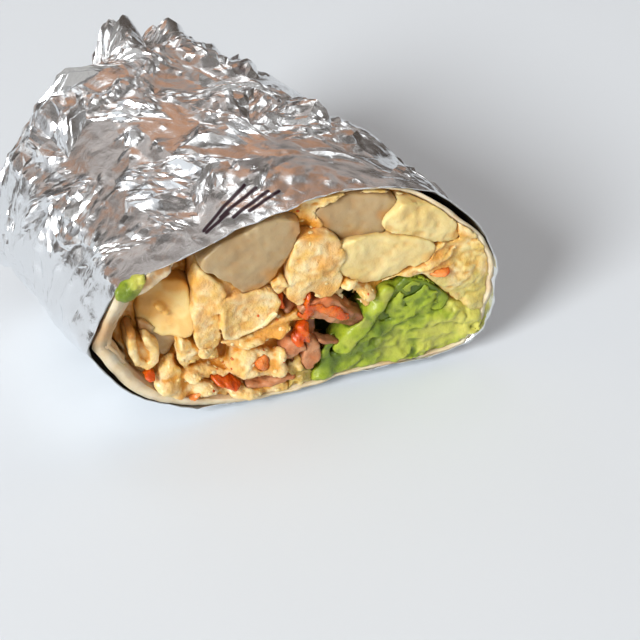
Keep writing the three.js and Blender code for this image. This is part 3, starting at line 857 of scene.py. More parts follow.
@dataclass
class Tortilla:
    """One flour tortilla rolled round the filling, its inner edge lapped under its outer edge."""

    roll: Roll
    thin: float = 0.7
    thick: float = 2.0
    inset: float = 0.42
    inset_back: float = 1.25
    gap: float = 0.06
    gap_reach: float = 0.3
    settle: float = 0.07
    back: float = 0.5
    back_at_roof: float = 3.0
    roof: tuple[float, float, float] = (92.0, 42.0, 56.0)
    lap_thinning: float = 0.75
    lap_step: float = 0.75
    lap_from: float = math.radians(153)
    lap: float = math.radians(34)
    blend: float = math.radians(26)
    around: int = 300
    rows: int = 70
    seed: int = 21
    end: float = 0.985
    gaps: tuple[tuple[float, float], ...] = (
        (16, 0.0), (22, 0.5), (29, 1.0), (38, 0.8), (50, 0.3), (62, 0.0), (156, 0.0), (163, 0.4), (169, 0.9),
        (174, 1.2), (180, 1.2), (186, 0.9), (193, 0.6), (200, 0.3), (206, 0.1), (212, 0.0), (350, 0.0),
    )

    def push(self, angle: np.ndarray, along: np.ndarray) -> np.ndarray:
        """How far the sheet follows the foil out at the cut: less, where a dark gap lies between them."""
        degrees, gaps = zip(*self.gaps)
        gap = np.interp(np.degrees(angle), degrees, gaps, period=360) * (1 - ease(along, 0, self.gap_reach))
        return self.roll.flare(angle, along) - gap

    def start(self, angle: np.ndarray) -> np.ndarray:
        """How far the tortilla's cut edge lies behind the foil's: it hides under the roof."""
        middle, hidden, seen = self.roof
        off = np.abs(angle_from(angle, middle))
        under_roof = 1 - ease(off, math.radians(hidden), math.radians(seen))
        return self.back + self.back_at_roof * under_roof

    def thickness(self, turned: np.ndarray) -> np.ndarray:
        """How thick the sheet is: pressed thin below and at the right, and thin again where it laps."""
        under = ease(turned, TURN - 0.35, TURN)
        bulge = self.thick * hump(self.lap_from + turned, 186, 72)
        return self.thin + bulge * (1 - self.lap_thinning * under)

    def layer(self, turned: np.ndarray, along: Numbers) -> np.ndarray:
        """The sheet's inset: close to the foil at the cut, and turned in under itself at the lap."""
        step = self.thin + self.thick * self.lap_step + self.gap
        under = step * ease(turned, TURN - self.blend, TURN - 0.04)
        return self.outside(turned, along) + under

    def room(self, angle: np.ndarray, along: np.ndarray) -> np.ndarray:
        """The inset of the room inside the tortilla, deeper where the sheet is double."""
        turned = np.remainder(angle - self.lap_from, TURN)
        single = self.outside(angle, along) + self.thickness(turned)
        single = single + self.roll.flare(angle, along) - self.push(angle, along)
        before = ease(turned, TURN - self.blend - 0.25, TURN - 0.1)
        after = 1 - ease(turned, self.lap + 0.02, self.lap + 0.2)
        return single + 1.3 * np.maximum(before, after)

    def outside(self, angle: np.ndarray, along: np.ndarray) -> np.ndarray:
        """The inset of the sheet's outer side, whatever the angle."""
        return mix(self.inset, self.inset_back, ease(along, 0, self.settle)) + 0 * angle

    def build(self) -> bpy.types.Object:
        """Roll the sheet."""
        noise = Noise(self.seed)
        turned = np.linspace(0, TURN + self.lap, self.around)
        along = self.end * np.linspace(0, 1, self.rows) ** 1.6
        turned, along = np.meshgrid(turned, along)
        angle = self.lap_from + turned
        layer = self.layer(turned, along)
        push = self.push(angle, along)
        middle = self.roll.points(angle, along, inset=layer, push=push)
        edge = 0.45 * noise.at(middle, 4) + 0.2 * noise.at(middle, 1.3)
        under = ease(turned, TURN - 0.5, TURN)
        start = self.start(angle) + (1 - ease(along, 0, 0.05)) * (edge + 0.5 * under)
        waves = 0.3 * noise.at(middle, 7) * hump(angle, 175, 80)
        wavy = waves + 0.45 * noise.at(middle, 3.4) * hump(angle, 160, 50) + 0.12 * noise.at(middle, 1.2)
        faces = []
        for depth, bumps in ((0.0, 0.0), (self.thickness(turned), wavy)):
            inset = np.maximum(layer + depth - bumps, self.inset)
            faces.append(self.roll.points(angle, along, inset=inset, push=push, start=start))
        outer, inner = (face.reshape(-1, 3) for face in faces)
        points = np.concatenate([outer, inner])
        inside = np.concatenate([np.zeros(len(outer)), np.ones(len(inner))])
        depth = np.tile(along.ravel() * self.roll.length, 2)
        toasted = np.tile(hump(angle, 172, 9).ravel(), 2)
        sauce = np.tile(hump(angle, 128, 50).ravel(), 2)
        lapped = np.tile(under.ravel(), 2)
        spots = np.tile(ease(noise.at(middle, 5.5), 0.35, 0.75).ravel(), 2)
        # Inside the sheet, deep is painted shade, darker further into the roll and under the roof, where
        # sauce also stains it.
        marks = {
            "stain": np.maximum(inside * np.maximum(0.2 * ease(depth, 0.5, 4), sauce * ease(depth, -1, 2)),
                                np.maximum(np.maximum(0.3 * lapped, 0.6 * toasted), 0.4 * spots)),
            "deep": inside * np.maximum(ease(depth, 6, 20), 0.4 * sauce * ease(depth, 1, 5)),
        }
        piece = make_piece("flour_tortilla", points, self.walls(), TORTILLA.material(), marks)
        install(piece, Slot.TORTILLA, "tortilla")
        return piece

    def walls(self) -> np.ndarray:
        """The sheet's faces: its two sides, and the strips that close its four edges."""
        index = np.arange(self.rows * self.around).reshape(self.rows, self.around)
        count = index.size
        a, b, c, d = (x.ravel() for x in (index[:-1, :-1], index[:-1, 1:], index[1:, 1:], index[1:, :-1]))
        outer = np.stack([a, b, c, d], axis=1)
        border = np.concatenate([index[0, :], index[1:, -1], index[-1, -2::-1], index[-2:0:-1, 0]])
        ahead = np.roll(border, -1)
        strips = np.stack([border, border + count, ahead + count, ahead], axis=1)
        return np.concatenate([outer[:, ::-1], outer + count, strips[:, ::-1]])


# ---- Shapes on the cut: each gives the signed distance of points (u, d, v) from its surface ----


@dataclass(frozen=True)
class Shape(ABC):
    """A solid shape placed on the cut's axes."""

    @abstractmethod
    def box(self) -> tuple[np.ndarray, np.ndarray]:
        """The lowest and highest corners of the shape."""

    @abstractmethod
    def distance(self, points: np.ndarray) -> np.ndarray:
        """The distance of points outside the shape, negative inside it."""


def outline_distance(u: np.ndarray, v: np.ndarray, corners: list[tuple[float, float]]) -> np.ndarray:
    """The distance of points from a closed outline, negative inside it."""
    nearest = np.full(u.shape, np.inf)
    inside = np.zeros(u.shape, bool)
    for (au, av), (bu, bv) in zip(corners, corners[1:] + corners[:1]):
        off_u, off_v = off_line(u, v, (au, av), (bu, bv))
        nearest = np.minimum(nearest, off_u**2 + off_v**2)
        if bv != av:
            inside ^= ((av > v) != (bv > v)) & (u < au + (bu - au) * (v - av) / (bv - av))
    return np.where(inside, -1, 1) * np.sqrt(nearest)


def rounded_outline(corners: list[tuple[float, float]], steps: int = 4) -> list[tuple[float, float]]:
    """A smooth closed curve through some corners, as points on it."""
    loop = np.array(corners)
    before, after, beyond = np.roll(loop, 1, 0), np.roll(loop, -1, 0), np.roll(loop, -2, 0)
    points = []
    for step in range(steps):
        t = step / steps
        weights = (
            -0.5 * t + t ** 2 - 0.5 * t ** 3, 1 - 2.5 * t ** 2 + 1.5 * t ** 3,
            0.5 * t + 2 * t ** 2 - 1.5 * t ** 3, -0.5 * t ** 2 + 0.5 * t ** 3,
        )
        points.append(sum(w * p for w, p in zip(weights, (before, loop, after, beyond))))
    return [tuple(point) for point in np.stack(points, axis=1).reshape(-1, 2)]


def extruded(flat: np.ndarray, d: np.ndarray, front: Numbers, back: float, rounding: float) -> np.ndarray:
    """The distance from an outline run back into the roll, its edges rounded.

    Args:
        flat: The distance from the outline.
        d: How far back the points lie.
        front: Where the shape's face lies.
        back: Where its back lies.
        rounding: The radius of its edges.

    Returns:
        The distance.
    """
    across = flat + rounding
    deep = np.maximum(front - d, d - back) + rounding
    outer = np.hypot(np.maximum(across, 0), np.maximum(deep, 0))
    return outer + np.minimum(np.maximum(across, deep), 0) - rounding


@dataclass(frozen=True)
class Chunk(Shape):
    """A piece cut through by the knife: an outline on the cut that runs back into the roll."""

    corners: list[tuple[float, float]]
    face: float
    depth: float = 21.0
    rounding: float = 1.6
    dish: float = 0.0
    tilt: tuple[float, float] = (0.0, 0.0)

    def box(self) -> tuple[np.ndarray, np.ndarray]:
        """The lowest and highest corners of the shape."""
        flat = np.array(self.corners)
        low, high = flat.min(axis=0), flat.max(axis=0)
        lift = abs(self.tilt[0]) * (high[0] - low[0]) + abs(self.tilt[1]) * (high[1] - low[1]) + self.dish
        near, far = self.face - lift, self.face + self.depth
        return np.array([low[0], near, low[1]]), np.array([high[0], far, high[1]])

    def distance(self, points: np.ndarray) -> np.ndarray:
        """The distance of points outside the shape, negative inside it."""
        u, d, v = points[..., 0], points[..., 1], points[..., 2]
        middle = np.array(self.corners).mean(axis=0)
        flat = outline_distance(u, v, rounded_outline(self.corners))
        face = self.face + self.tilt[0] * (u - middle[0]) + self.tilt[1] * (v - middle[1])
        face = face + self.dish * ease(-flat, 0, 4)
        return extruded(flat, d, face, self.face + self.depth, self.rounding)


@dataclass(frozen=True)
class Lump(Shape):
    """An ellipsoid whose middle lies a depth behind the cut, turned in degrees on the cut."""

    u: float
    v: float
    across: float
    tall: float
    deep: float
    behind: float
    turn: float = 0.0

    def middle(self) -> np.ndarray:
        """Where the lump's middle lies."""
        return np.array([self.u, self.behind, self.v])

    def box(self) -> tuple[np.ndarray, np.ndarray]:
        """The lowest and highest corners of the shape."""
        wide = max(self.across, self.tall) / 2
        half = np.array([wide, self.deep / 2, wide])
        return self.middle() - half, self.middle() + half

    def distance(self, points: np.ndarray) -> np.ndarray:
        """The distance of points outside the shape, negative inside it."""
        off = points - self.middle()
        u, v = turned_by(off[..., 0], off[..., 2], self.turn)
        half = np.array([self.across, self.deep, self.tall]) / 2
        scaled = np.stack([u, off[..., 1], v], axis=-1) / half
        size = np.linalg.norm(scaled, axis=-1)
        slope = np.linalg.norm(scaled / half, axis=-1)
        return size * (size - 1) / np.maximum(slope, 1e-6)


@dataclass(frozen=True)
class Fold(Shape):
    """A bent sheet: a path on the cut with a thickness, running back into the roll."""

    path: list[tuple[float, float]]
    thick: float
    face: float
    depth: float = 14.0

    ROUNDING = 0.35

    def box(self) -> tuple[np.ndarray, np.ndarray]:
        """The lowest and highest corners of the shape."""
        flat = np.array(self.path)
        low, high = flat.min(axis=0) - self.thick / 2, flat.max(axis=0) + self.thick / 2
        return np.array([low[0], self.face, low[1]]), np.array([high[0], self.face + self.depth, high[1]])

    def distance(self, points: np.ndarray) -> np.ndarray:
        """The distance of points outside the shape, negative inside it."""
        u, d, v = points[..., 0], points[..., 1], points[..., 2]
        nearest = np.full(u.shape, np.inf)
        for start, end in zip(self.path, self.path[1:]):
            nearest = np.minimum(nearest, np.hypot(*off_line(u, v, start, end)))
        flat = nearest - self.thick / 2
        return extruded(flat, d, self.face, self.face + self.depth, self.thick * self.ROUNDING)


# ---- Carving: fields on a grid that become meshes ----


@dataclass(frozen=True)
class Relief:
    """Unevenness of a surface: the size and height of its features."""

    size: float
    height: float
    lumpy: bool = False
    seed: int = 1
    stretch: float = 1.0
    turn: float = 0.0

    WARP = 0.35

    def lift(self, points: np.ndarray) -> np.ndarray:
        """How far the surface is raised at some points."""
        noise = Noise(self.seed)
        u, v = turned_by(points[..., 0], points[..., 2], self.turn)
        turned = np.stack([u / self.stretch, points[..., 1], v], axis=-1)
        bend = noise.bend(turned, self.size * 1.6, ([1, 2, 0], [2, 1, 0], [0, 2, 1]))
        turned = turned + self.WARP * self.size * bend
        if self.lumpy:
            return self.height * (noise.lumps(turned, self.size) - 0.45)
        return self.height * noise.at(turned, self.size)


@dataclass
class Grid:
    """A grid on the cut's axes whose steps grow towards the back of the roll."""

    low: np.ndarray
    high: np.ndarray
    cell: float
    fine: float = 9.0
    growth: float = 1.18

    def __post_init__(self) -> None:
        """Lay out the three axes."""
        self.axes = [np.arange(self.low[i], self.high[i] + self.cell, self.cell) for i in range(3)]
        steps = [self.low[1]]
        step = self.cell
        while steps[-1] < self.high[1]:
            steps.append(steps[-1] + step)
            if steps[-1] > self.fine:
                step *= self.growth
        self.axes[1] = np.array(steps)

    def window(self, low: np.ndarray, high: np.ndarray) -> tuple[slice, ...]:
        """The part of the grid between two corners."""
        return tuple(
            slice(int(np.searchsorted(a, lo)), int(np.searchsorted(a, hi)) + 1)
            for a, lo, hi in zip(self.axes, low, high)
        )

    def points(self, window: tuple[slice, ...] = (slice(None),) * 3) -> np.ndarray:
        """The grid's points in a window."""
        axes = [a[w] for a, w in zip(self.axes, window)]
        return np.stack(np.meshgrid(*axes, indexing="ij"), axis=-1)

    def sample(self, values: np.ndarray, points: np.ndarray) -> np.ndarray:
        """Values on the grid, blended at some points."""
        bases = []
        shares = []
        for i, axis in enumerate(self.axes):
            base = np.clip(np.searchsorted(axis, points[:, i]) - 1, 0, len(axis) - 2)
            bases.append(base)
            shares.append(np.clip((points[:, i] - axis[base]) / (axis[base + 1] - axis[base]), 0, 1))

        def value_at(corner: tuple[int, ...]) -> np.ndarray:
            return values[tuple(base + upper for base, upper in zip(bases, corner))]

        return blended(shares, value_at)


def surface_net(values: np.ndarray, axes: list[np.ndarray]) -> tuple[np.ndarray, np.ndarray]:
    """Turn a field that is negative inside into a closed mesh of quads.

    Args:
        values: The field on a grid.
        axes: The grid's coordinates along each axis.

    Returns:
        The points, and the quads as rows of four point numbers, facing out.
    """
    values = np.pad(values, 1, constant_values=1.0)
    axes = [np.concatenate([[2 * a[0] - a[1]], a, [2 * a[-1] - a[-2]]]) for a in axes]
    inside = values < 0
    shape = np.array(values.shape) - 1
    corners = itertools.product((0, 1), repeat=3)
    windows = [tuple(slice(c, c + n) for c, n in zip(corner, shape)) for corner in corners]
    filled = sum(inside[window].astype(int) for window in windows)
    cells = np.argwhere((filled > 0) & (filled < 8))
    number = np.full(shape, -1)
    number[tuple(cells.T)] = np.arange(len(cells))
    return crossings(values, axes, cells), quads_between(inside, number)


def crossings(values: np.ndarray, axes: list[np.ndarray], cells: np.ndarray) -> np.ndarray:
    """The mean place in each cell where its edges cross the surface."""
    total = np.zeros((len(cells), 3))
    hits = np.zeros(len(cells))
    for axis, step in enumerate(np.eye(3, dtype=int)):
        for corner in itertools.product((0, 1), repeat=3):
            if corner[axis]:
                continue
            start = cells + np.array(corner)
            a, b = values[tuple(start.T)], values[tuple((start + step).T)]
            crossed = (a < 0) != (b < 0)
            share = np.where(crossed, a / np.where(crossed, a - b, 1), 0)
            spot = np.stack([axes[i][start[:, i]] for i in range(3)], axis=1)
            spot[:, axis] += share * (axes[axis][start[:, axis] + 1] - axes[axis][start[:, axis]])
            total[crossed] += spot[crossed]
            hits += crossed
    return total / hits[:, None]


def quads_between(inside: np.ndarray, number: np.ndarray) -> np.ndarray:
    """A quad between the four cells round each edge that crosses the surface, facing out."""
    quads = []
    steps = np.eye(3, dtype=int)
    for axis, step in enumerate(steps):
        b_step, c_step = steps[(axis + 1) % 3], steps[(axis + 2) % 3]
        length = np.array(inside.shape) - step
        here = inside[tuple(slice(0, n) for n in length)]
        there = inside[tuple(slice(s, None) for s in step)]
        edges = np.argwhere(here != there)
        ring = [number[tuple((edges - offset).T)] for offset in (0 * step, b_step, b_step + c_step, c_step)]
        quad = np.stack(ring, axis=1)
        leaving = here[tuple(edges.T)]
        quad[leaving] = quad[leaving][:, ::-1]
        quads.append(quad[:, ::-1])
    return np.concatenate(quads)


def drop_small_bodies(points: np.ndarray, quads: np.ndarray, least: int) -> tuple[np.ndarray, np.ndarray]:
    """Drop the bodies of a mesh that have fewer points than a least number."""
    group = np.arange(len(points))
    sides = np.concatenate([quads[:, [0, 1]], quads[:, [1, 2]], quads[:, [2, 3]], quads[:, [3, 0]]])
    while True:
        lower = np.minimum(group[sides[:, 0]], group[sides[:, 1]])
        new = group.copy()
        np.minimum.at(new, sides[:, 0], lower)
        np.minimum.at(new, sides[:, 1], lower)
        new = new[new]
        if (new == group).all():
            break
        group = new
    size = np.bincount(group, minlength=len(points))
    kept = size[group] >= least
    renumber = np.cumsum(kept) - 1
    return points[kept], renumber[quads[kept[quads[:, 0]]]]


def hollows(values: np.ndarray, reach: int, cell: float) -> np.ndarray:
    """How hollow a field's surface is round each grid point: above 0 in a hollow, below 0 on a ridge.

    Args:
        values: The field.
        reach: How many cells each way are looked at.
        cell: The grid's step.

    Returns:
        The hollowness, as a share of the reach.
    """
    size = reach * cell
    capped = np.clip(values, -size, size)
    mean = capped
    for axis in range(3):
        border = [(reach + 1, reach) if i == axis else (0, 0) for i in range(3)]
        total = np.moveaxis(np.cumsum(np.pad(mean, border, mode="edge"), axis=axis), axis, 0)
        count = 2 * reach + 1
        mean = np.moveaxis((total[count:] - total[:-count]) / count, 0, axis)
    return (capped - mean) / size


@dataclass(frozen=True)
class Mark:
    """A place on the cut where a piece is stained or dark, fading out over its width."""

    u: float
    v: float
    wide: float
    strength: float


class Within(Enum):
    """What a piece of filling is trimmed to."""

    TORTILLA = "tortilla"
    FOIL = "foil"
    NOTHING = "nothing"


@dataclass
class Carving:
    """A piece of filling: shapes run together, roughened, and trimmed to the room and to its neighbours.

    Attributes:
        shapes: What it is made of, and holes what is taken out again.
        nodes: The solids that it stands for.
        melt: Over what distance the shapes run together, and warp how far their outlines wander.
        cell: The step of the grid that it is carved on.
        least: How many points a loose body has at least. A smaller one is dropped.
        stains: Where there is sauce. The shades are places of painted shade, and the smears a neighbour's
            colour.
        even_stain: How much sauce there is all over, in patches.
        hollow_sauce_and_shade: How much the hollows take the stain colour, as sauce and painted shade, and
            hollow_shade how much painted shade darkens them.
        darkest: How much painted shade darkens it deep behind the cut.
    """

    name: str
    finish: Food
    slot: Slot
    shapes: list[Shape]
    nodes: tuple[str, ...]
    reliefs: list[Relief]
    holes: list[Shape] = field(default_factory=list)
    melt: float = 0.8
    warp: float = 0.5
    cell: float = 0.4
    least: int = 400
    within: Within = Within.TORTILLA
    stains: list[Mark] = field(default_factory=list)
    shades: list[Mark] = field(default_factory=list)
    smears: list[Mark] = field(default_factory=list)
    even_stain: float = 0.0
    hollow_sauce_and_shade: float = 0.8
    hollow_shade: float = 0.8
    darkest: float = 0.0

    COLOUR_SEED = 5

    def distance(self, points: np.ndarray, near: Callable = lambda shape: ...) -> np.ndarray:
        """The smooth distance from all the shapes together.

        Args:
            points: Points (u, d, v) on the cut's axes.
            near: Gives the part of the points that a shape is worked out for. It is all of them if left out.

        Returns:
            The distance, negative inside.
        """
        points = self.warped(points)
        total = np.full(points.shape[:-1], FAR)
        for shape in self.shapes:
            part = near(shape)
            total[part] = self.merge(total[part], shape.distance(points[part]))
        for hole in self.holes:
            part = near(hole)
            total[part] = np.maximum(total[part], -hole.distance(points[part]))
        return total

    def warped(self, points: np.ndarray) -> np.ndarray:
        """The points moved a little, so that no outline is quite regular."""
        noise = Noise(len(self.name))
        for size, share in ((5.5, 1.0), (2.2, 0.5), (1.1, 0.28)):
            bend = noise.bend(points, size, ([0, 1, 2], [1, 2, 0], [2, 0, 1]))
            points = points + self.warp * share * bend
        return points

    def merge(self, a: np.ndarray, b: np.ndarray) -> np.ndarray:
        """The lesser of two distances, melted together where they are alike."""
        share = np.maximum(self.melt - np.abs(a - b), 0) / self.melt
        return np.minimum(a, b) - share * share * self.melt / 4

    def box(self) -> tuple[np.ndarray, np.ndarray]:
        """The lowest and highest corners of the shapes."""
        boxes = [shape.box() for shape in self.shapes]
        return np.min([b[0] for b in boxes], axis=0), np.max([b[1] for b in boxes], axis=0)

    def field(self, grid: Grid) -> np.ndarray:
        """The distance from the shapes on a grid, each worked out only near itself."""
        margin = self.melt + self.warp + 2

        def near(shape: Shape) -> tuple[slice, ...]:
            low, high = shape.box()
            return grid.window(low - margin, high + margin)

        return self.distance(grid.points(), near)

    def colouring(self, points: np.ndarray, narrow: np.ndarray, wide: np.ndarray) -> dict[str, np.ndarray]:
        """How much sauce, smear and painted shade each point has.

        Args:
            points: The mesh's points.
            narrow: How hollow the surface is there over a short reach.
            wide: The same over a long reach.

        Returns:
            The amounts from 0 to 1, by attribute name.
        """
        noise = Noise(self.COLOUR_SEED)
        patchy = noise.at(points, 3.2) + 0.5 * noise.at(points, 1.3)
        # Sauce and painted shade: the hollows take the stain colour, the more the hollower they are.
        sauce = ease(narrow + 0.06 * patchy, -0.04, 0.16) + 0.7 * ease(wide, 0.0, 0.3)
        even = self.even_stain * ease(patchy, -0.1, 0.7)
        stain = np.maximum(even, self.hollow_sauce_and_shade * np.minimum(sauce, 1))
        # Painted shade: darker in the deep hollows, and further behind the cut.
        dark = np.maximum(ease(narrow, 0.12, 0.36), ease(wide + 0.04 * patchy, 0.14, 0.42))
        depth = np.maximum(self.darkest * ease(points[:, 1], 3, 11), self.hollow_shade * dark)
        return {
            "stain": np.maximum(stain, self.marked(self.stains, points, noise)),
            "smear": self.marked(self.smears, points, noise),
            "deep": np.maximum(depth, self.marked(self.shades, points, noise)),
        }

    @staticmethod
    def marked(marks: list[Mark], points: np.ndarray, noise: Noise) -> np.ndarray:
        """The strongest of some marks at each point."""
        amount = np.zeros(len(points))
        for mark in marks:
            off = np.hypot(points[:, 0] - mark.u, points[:, 2] - mark.v)
            off = off + 0.35 * mark.wide * noise.at(points, 2.0)
            amount = np.maximum(amount, mark.strength * (1 - ease(off, 0.3 * mark.wide, mark.wide)))
        return amount


@dataclass
class Flecks:
    """Small bits of one kind, strewn by Geometry Nodes over the front of what lies at the cut."""

    name: str
    finish: Food
    slot: Slot
    places: list[Mark]
    size: float
    apart: float
    reach: float = 6.0
    seed: int = 3

    def build(self, ground: list[bpy.types.Object], roll: Roll) -> bpy.types.Object:
        """Strew the bits.

        Args:
            ground: The pieces that they lie on.
            roll: The roll, for where the cut is.

        Returns:
            The bits as one plain mesh.
        """
        points, faces = self.joined(ground)
        at_cut = roll.to_cut(points)
        amount = Carving.marked(self.places, at_cut, Noise(self.seed)) * (at_cut[:, 1] < self.reach)
        material = self.finish.material()
        strewn = make_piece(self.name, points, faces, material, {"amount": amount})
        tree = self.tree(material)
        modifier = strewn.modifiers.new("strew", "NODES")
        modifier.node_group = tree
        sizes = {"Size": self.size * MM, "Apart": self.apart * MM, "Seed": self.seed}
        for item in tree.interface.items_tree:
            if item.name in sizes:
                modifier[item.identifier] = sizes[item.name]
        bpy.context.view_layer.update()
        seen = strewn.evaluated_get(bpy.context.evaluated_depsgraph_get())
        strewn_mesh = bpy.data.meshes.new_from_object(seen)
        strewn.modifiers.clear()
        strewn.data = strewn_mesh
        strewn_mesh.name = self.name
        install(strewn, self.slot)
        return strewn

    @staticmethod
    def joined(pieces: list[bpy.types.Object]) -> tuple[np.ndarray, np.ndarray]:
        """The points in millimetres, and the four-cornered faces, of some pieces together."""
        points, faces, count = [], [], 0
        for piece in pieces:
            place = np.empty(3 * len(piece.data.vertices), np.float32)
            piece.data.vertices.foreach_get("co", place)
            corner = np.empty(len(piece.data.loops), np.int32)
            piece.data.loops.foreach_get("vertex_index", corner)
            points.append(place.reshape(-1, 3) / MM)
            faces.append(corner.reshape(-1, 4) + count)
            count += len(piece.data.vertices)
        return np.concatenate(points), np.concatenate(faces)

    @staticmethod
    def tree(material: bpy.types.Material) -> Tree:
        """The node tree: points apart from each other, a small flat lump on each."""
        tree = bpy.data.node_groups.new("strewn_flecks", "GeometryNodeTree")
        tree.interface.new_socket("Ground", in_out="INPUT", socket_type="NodeSocketGeometry")
        for size in ("Size", "Apart"):
            tree.interface.new_socket(size, in_out="INPUT", socket_type="NodeSocketFloat")
        tree.interface.new_socket("Seed", in_out="INPUT", socket_type="NodeSocketInt")
        tree.interface.new_socket("Flecks", in_out="OUTPUT", socket_type="NodeSocketGeometry")
        given = add_node(tree, "NodeGroupInput").outputs
        amount = add_node(tree, "GeometryNodeInputNamedAttribute", {"Name": "amount"}, data_type="FLOAT")
        spots = add_node(
            tree, "GeometryNodeDistributePointsOnFaces",
            {
                "Mesh": given["Ground"], "Distance Min": given["Apart"], "Density Max": 2000000.0,
                "Density Factor": amount.outputs["Attribute"], "Seed": given["Seed"],
            },
            distribute_method="POISSON",
        )
        lump = add_node(tree, "GeometryNodeMeshIcoSphere", {"Radius": given["Size"], "Subdivisions": 2})
        scale = add_node(
            tree, "FunctionNodeRandomValue",
            {0: (0.4, 0.4, 0.2), 1: (1.2, 1.0, 0.45), "Seed": given["Seed"]}, data_type="FLOAT_VECTOR",
        )
        lumps = add_node(
            tree, "GeometryNodeInstanceOnPoints",
            {
                "Points": spots.outputs["Points"], "Instance": lump.outputs["Mesh"],
                "Rotation": spots.outputs["Rotation"], "Scale": scale.outputs[0],
            },
        )
        real = add_node(tree, "GeometryNodeRealizeInstances", {"Geometry": lumps.outputs["Instances"]})
        smooth = add_node(tree, "GeometryNodeSetShadeSmooth", {"Geometry": real.outputs["Geometry"]})
        dressed = add_node(
            tree, "GeometryNodeSetMaterial", {"Geometry": smooth.outputs["Geometry"], "Material": material}
        )
        add_node(tree, "NodeGroupOutput", {"Flecks": dressed.outputs["Geometry"]})
        return tree


# The deep hollows beside the ham, which the avocado and the egg both leave free.
HOLLOWS = [
    Chunk([(1.6, 20), (7, 18), (10, 15), (9.4, 8), (4, 7), (1.6, 12)], 2.6, 12, 0.5),
    Chunk([(7.6, 28), (10.6, 27), (13.4, 20), (13, 13), (8, 13), (6.6, 22)], 3.4, 11, 0.5),
]


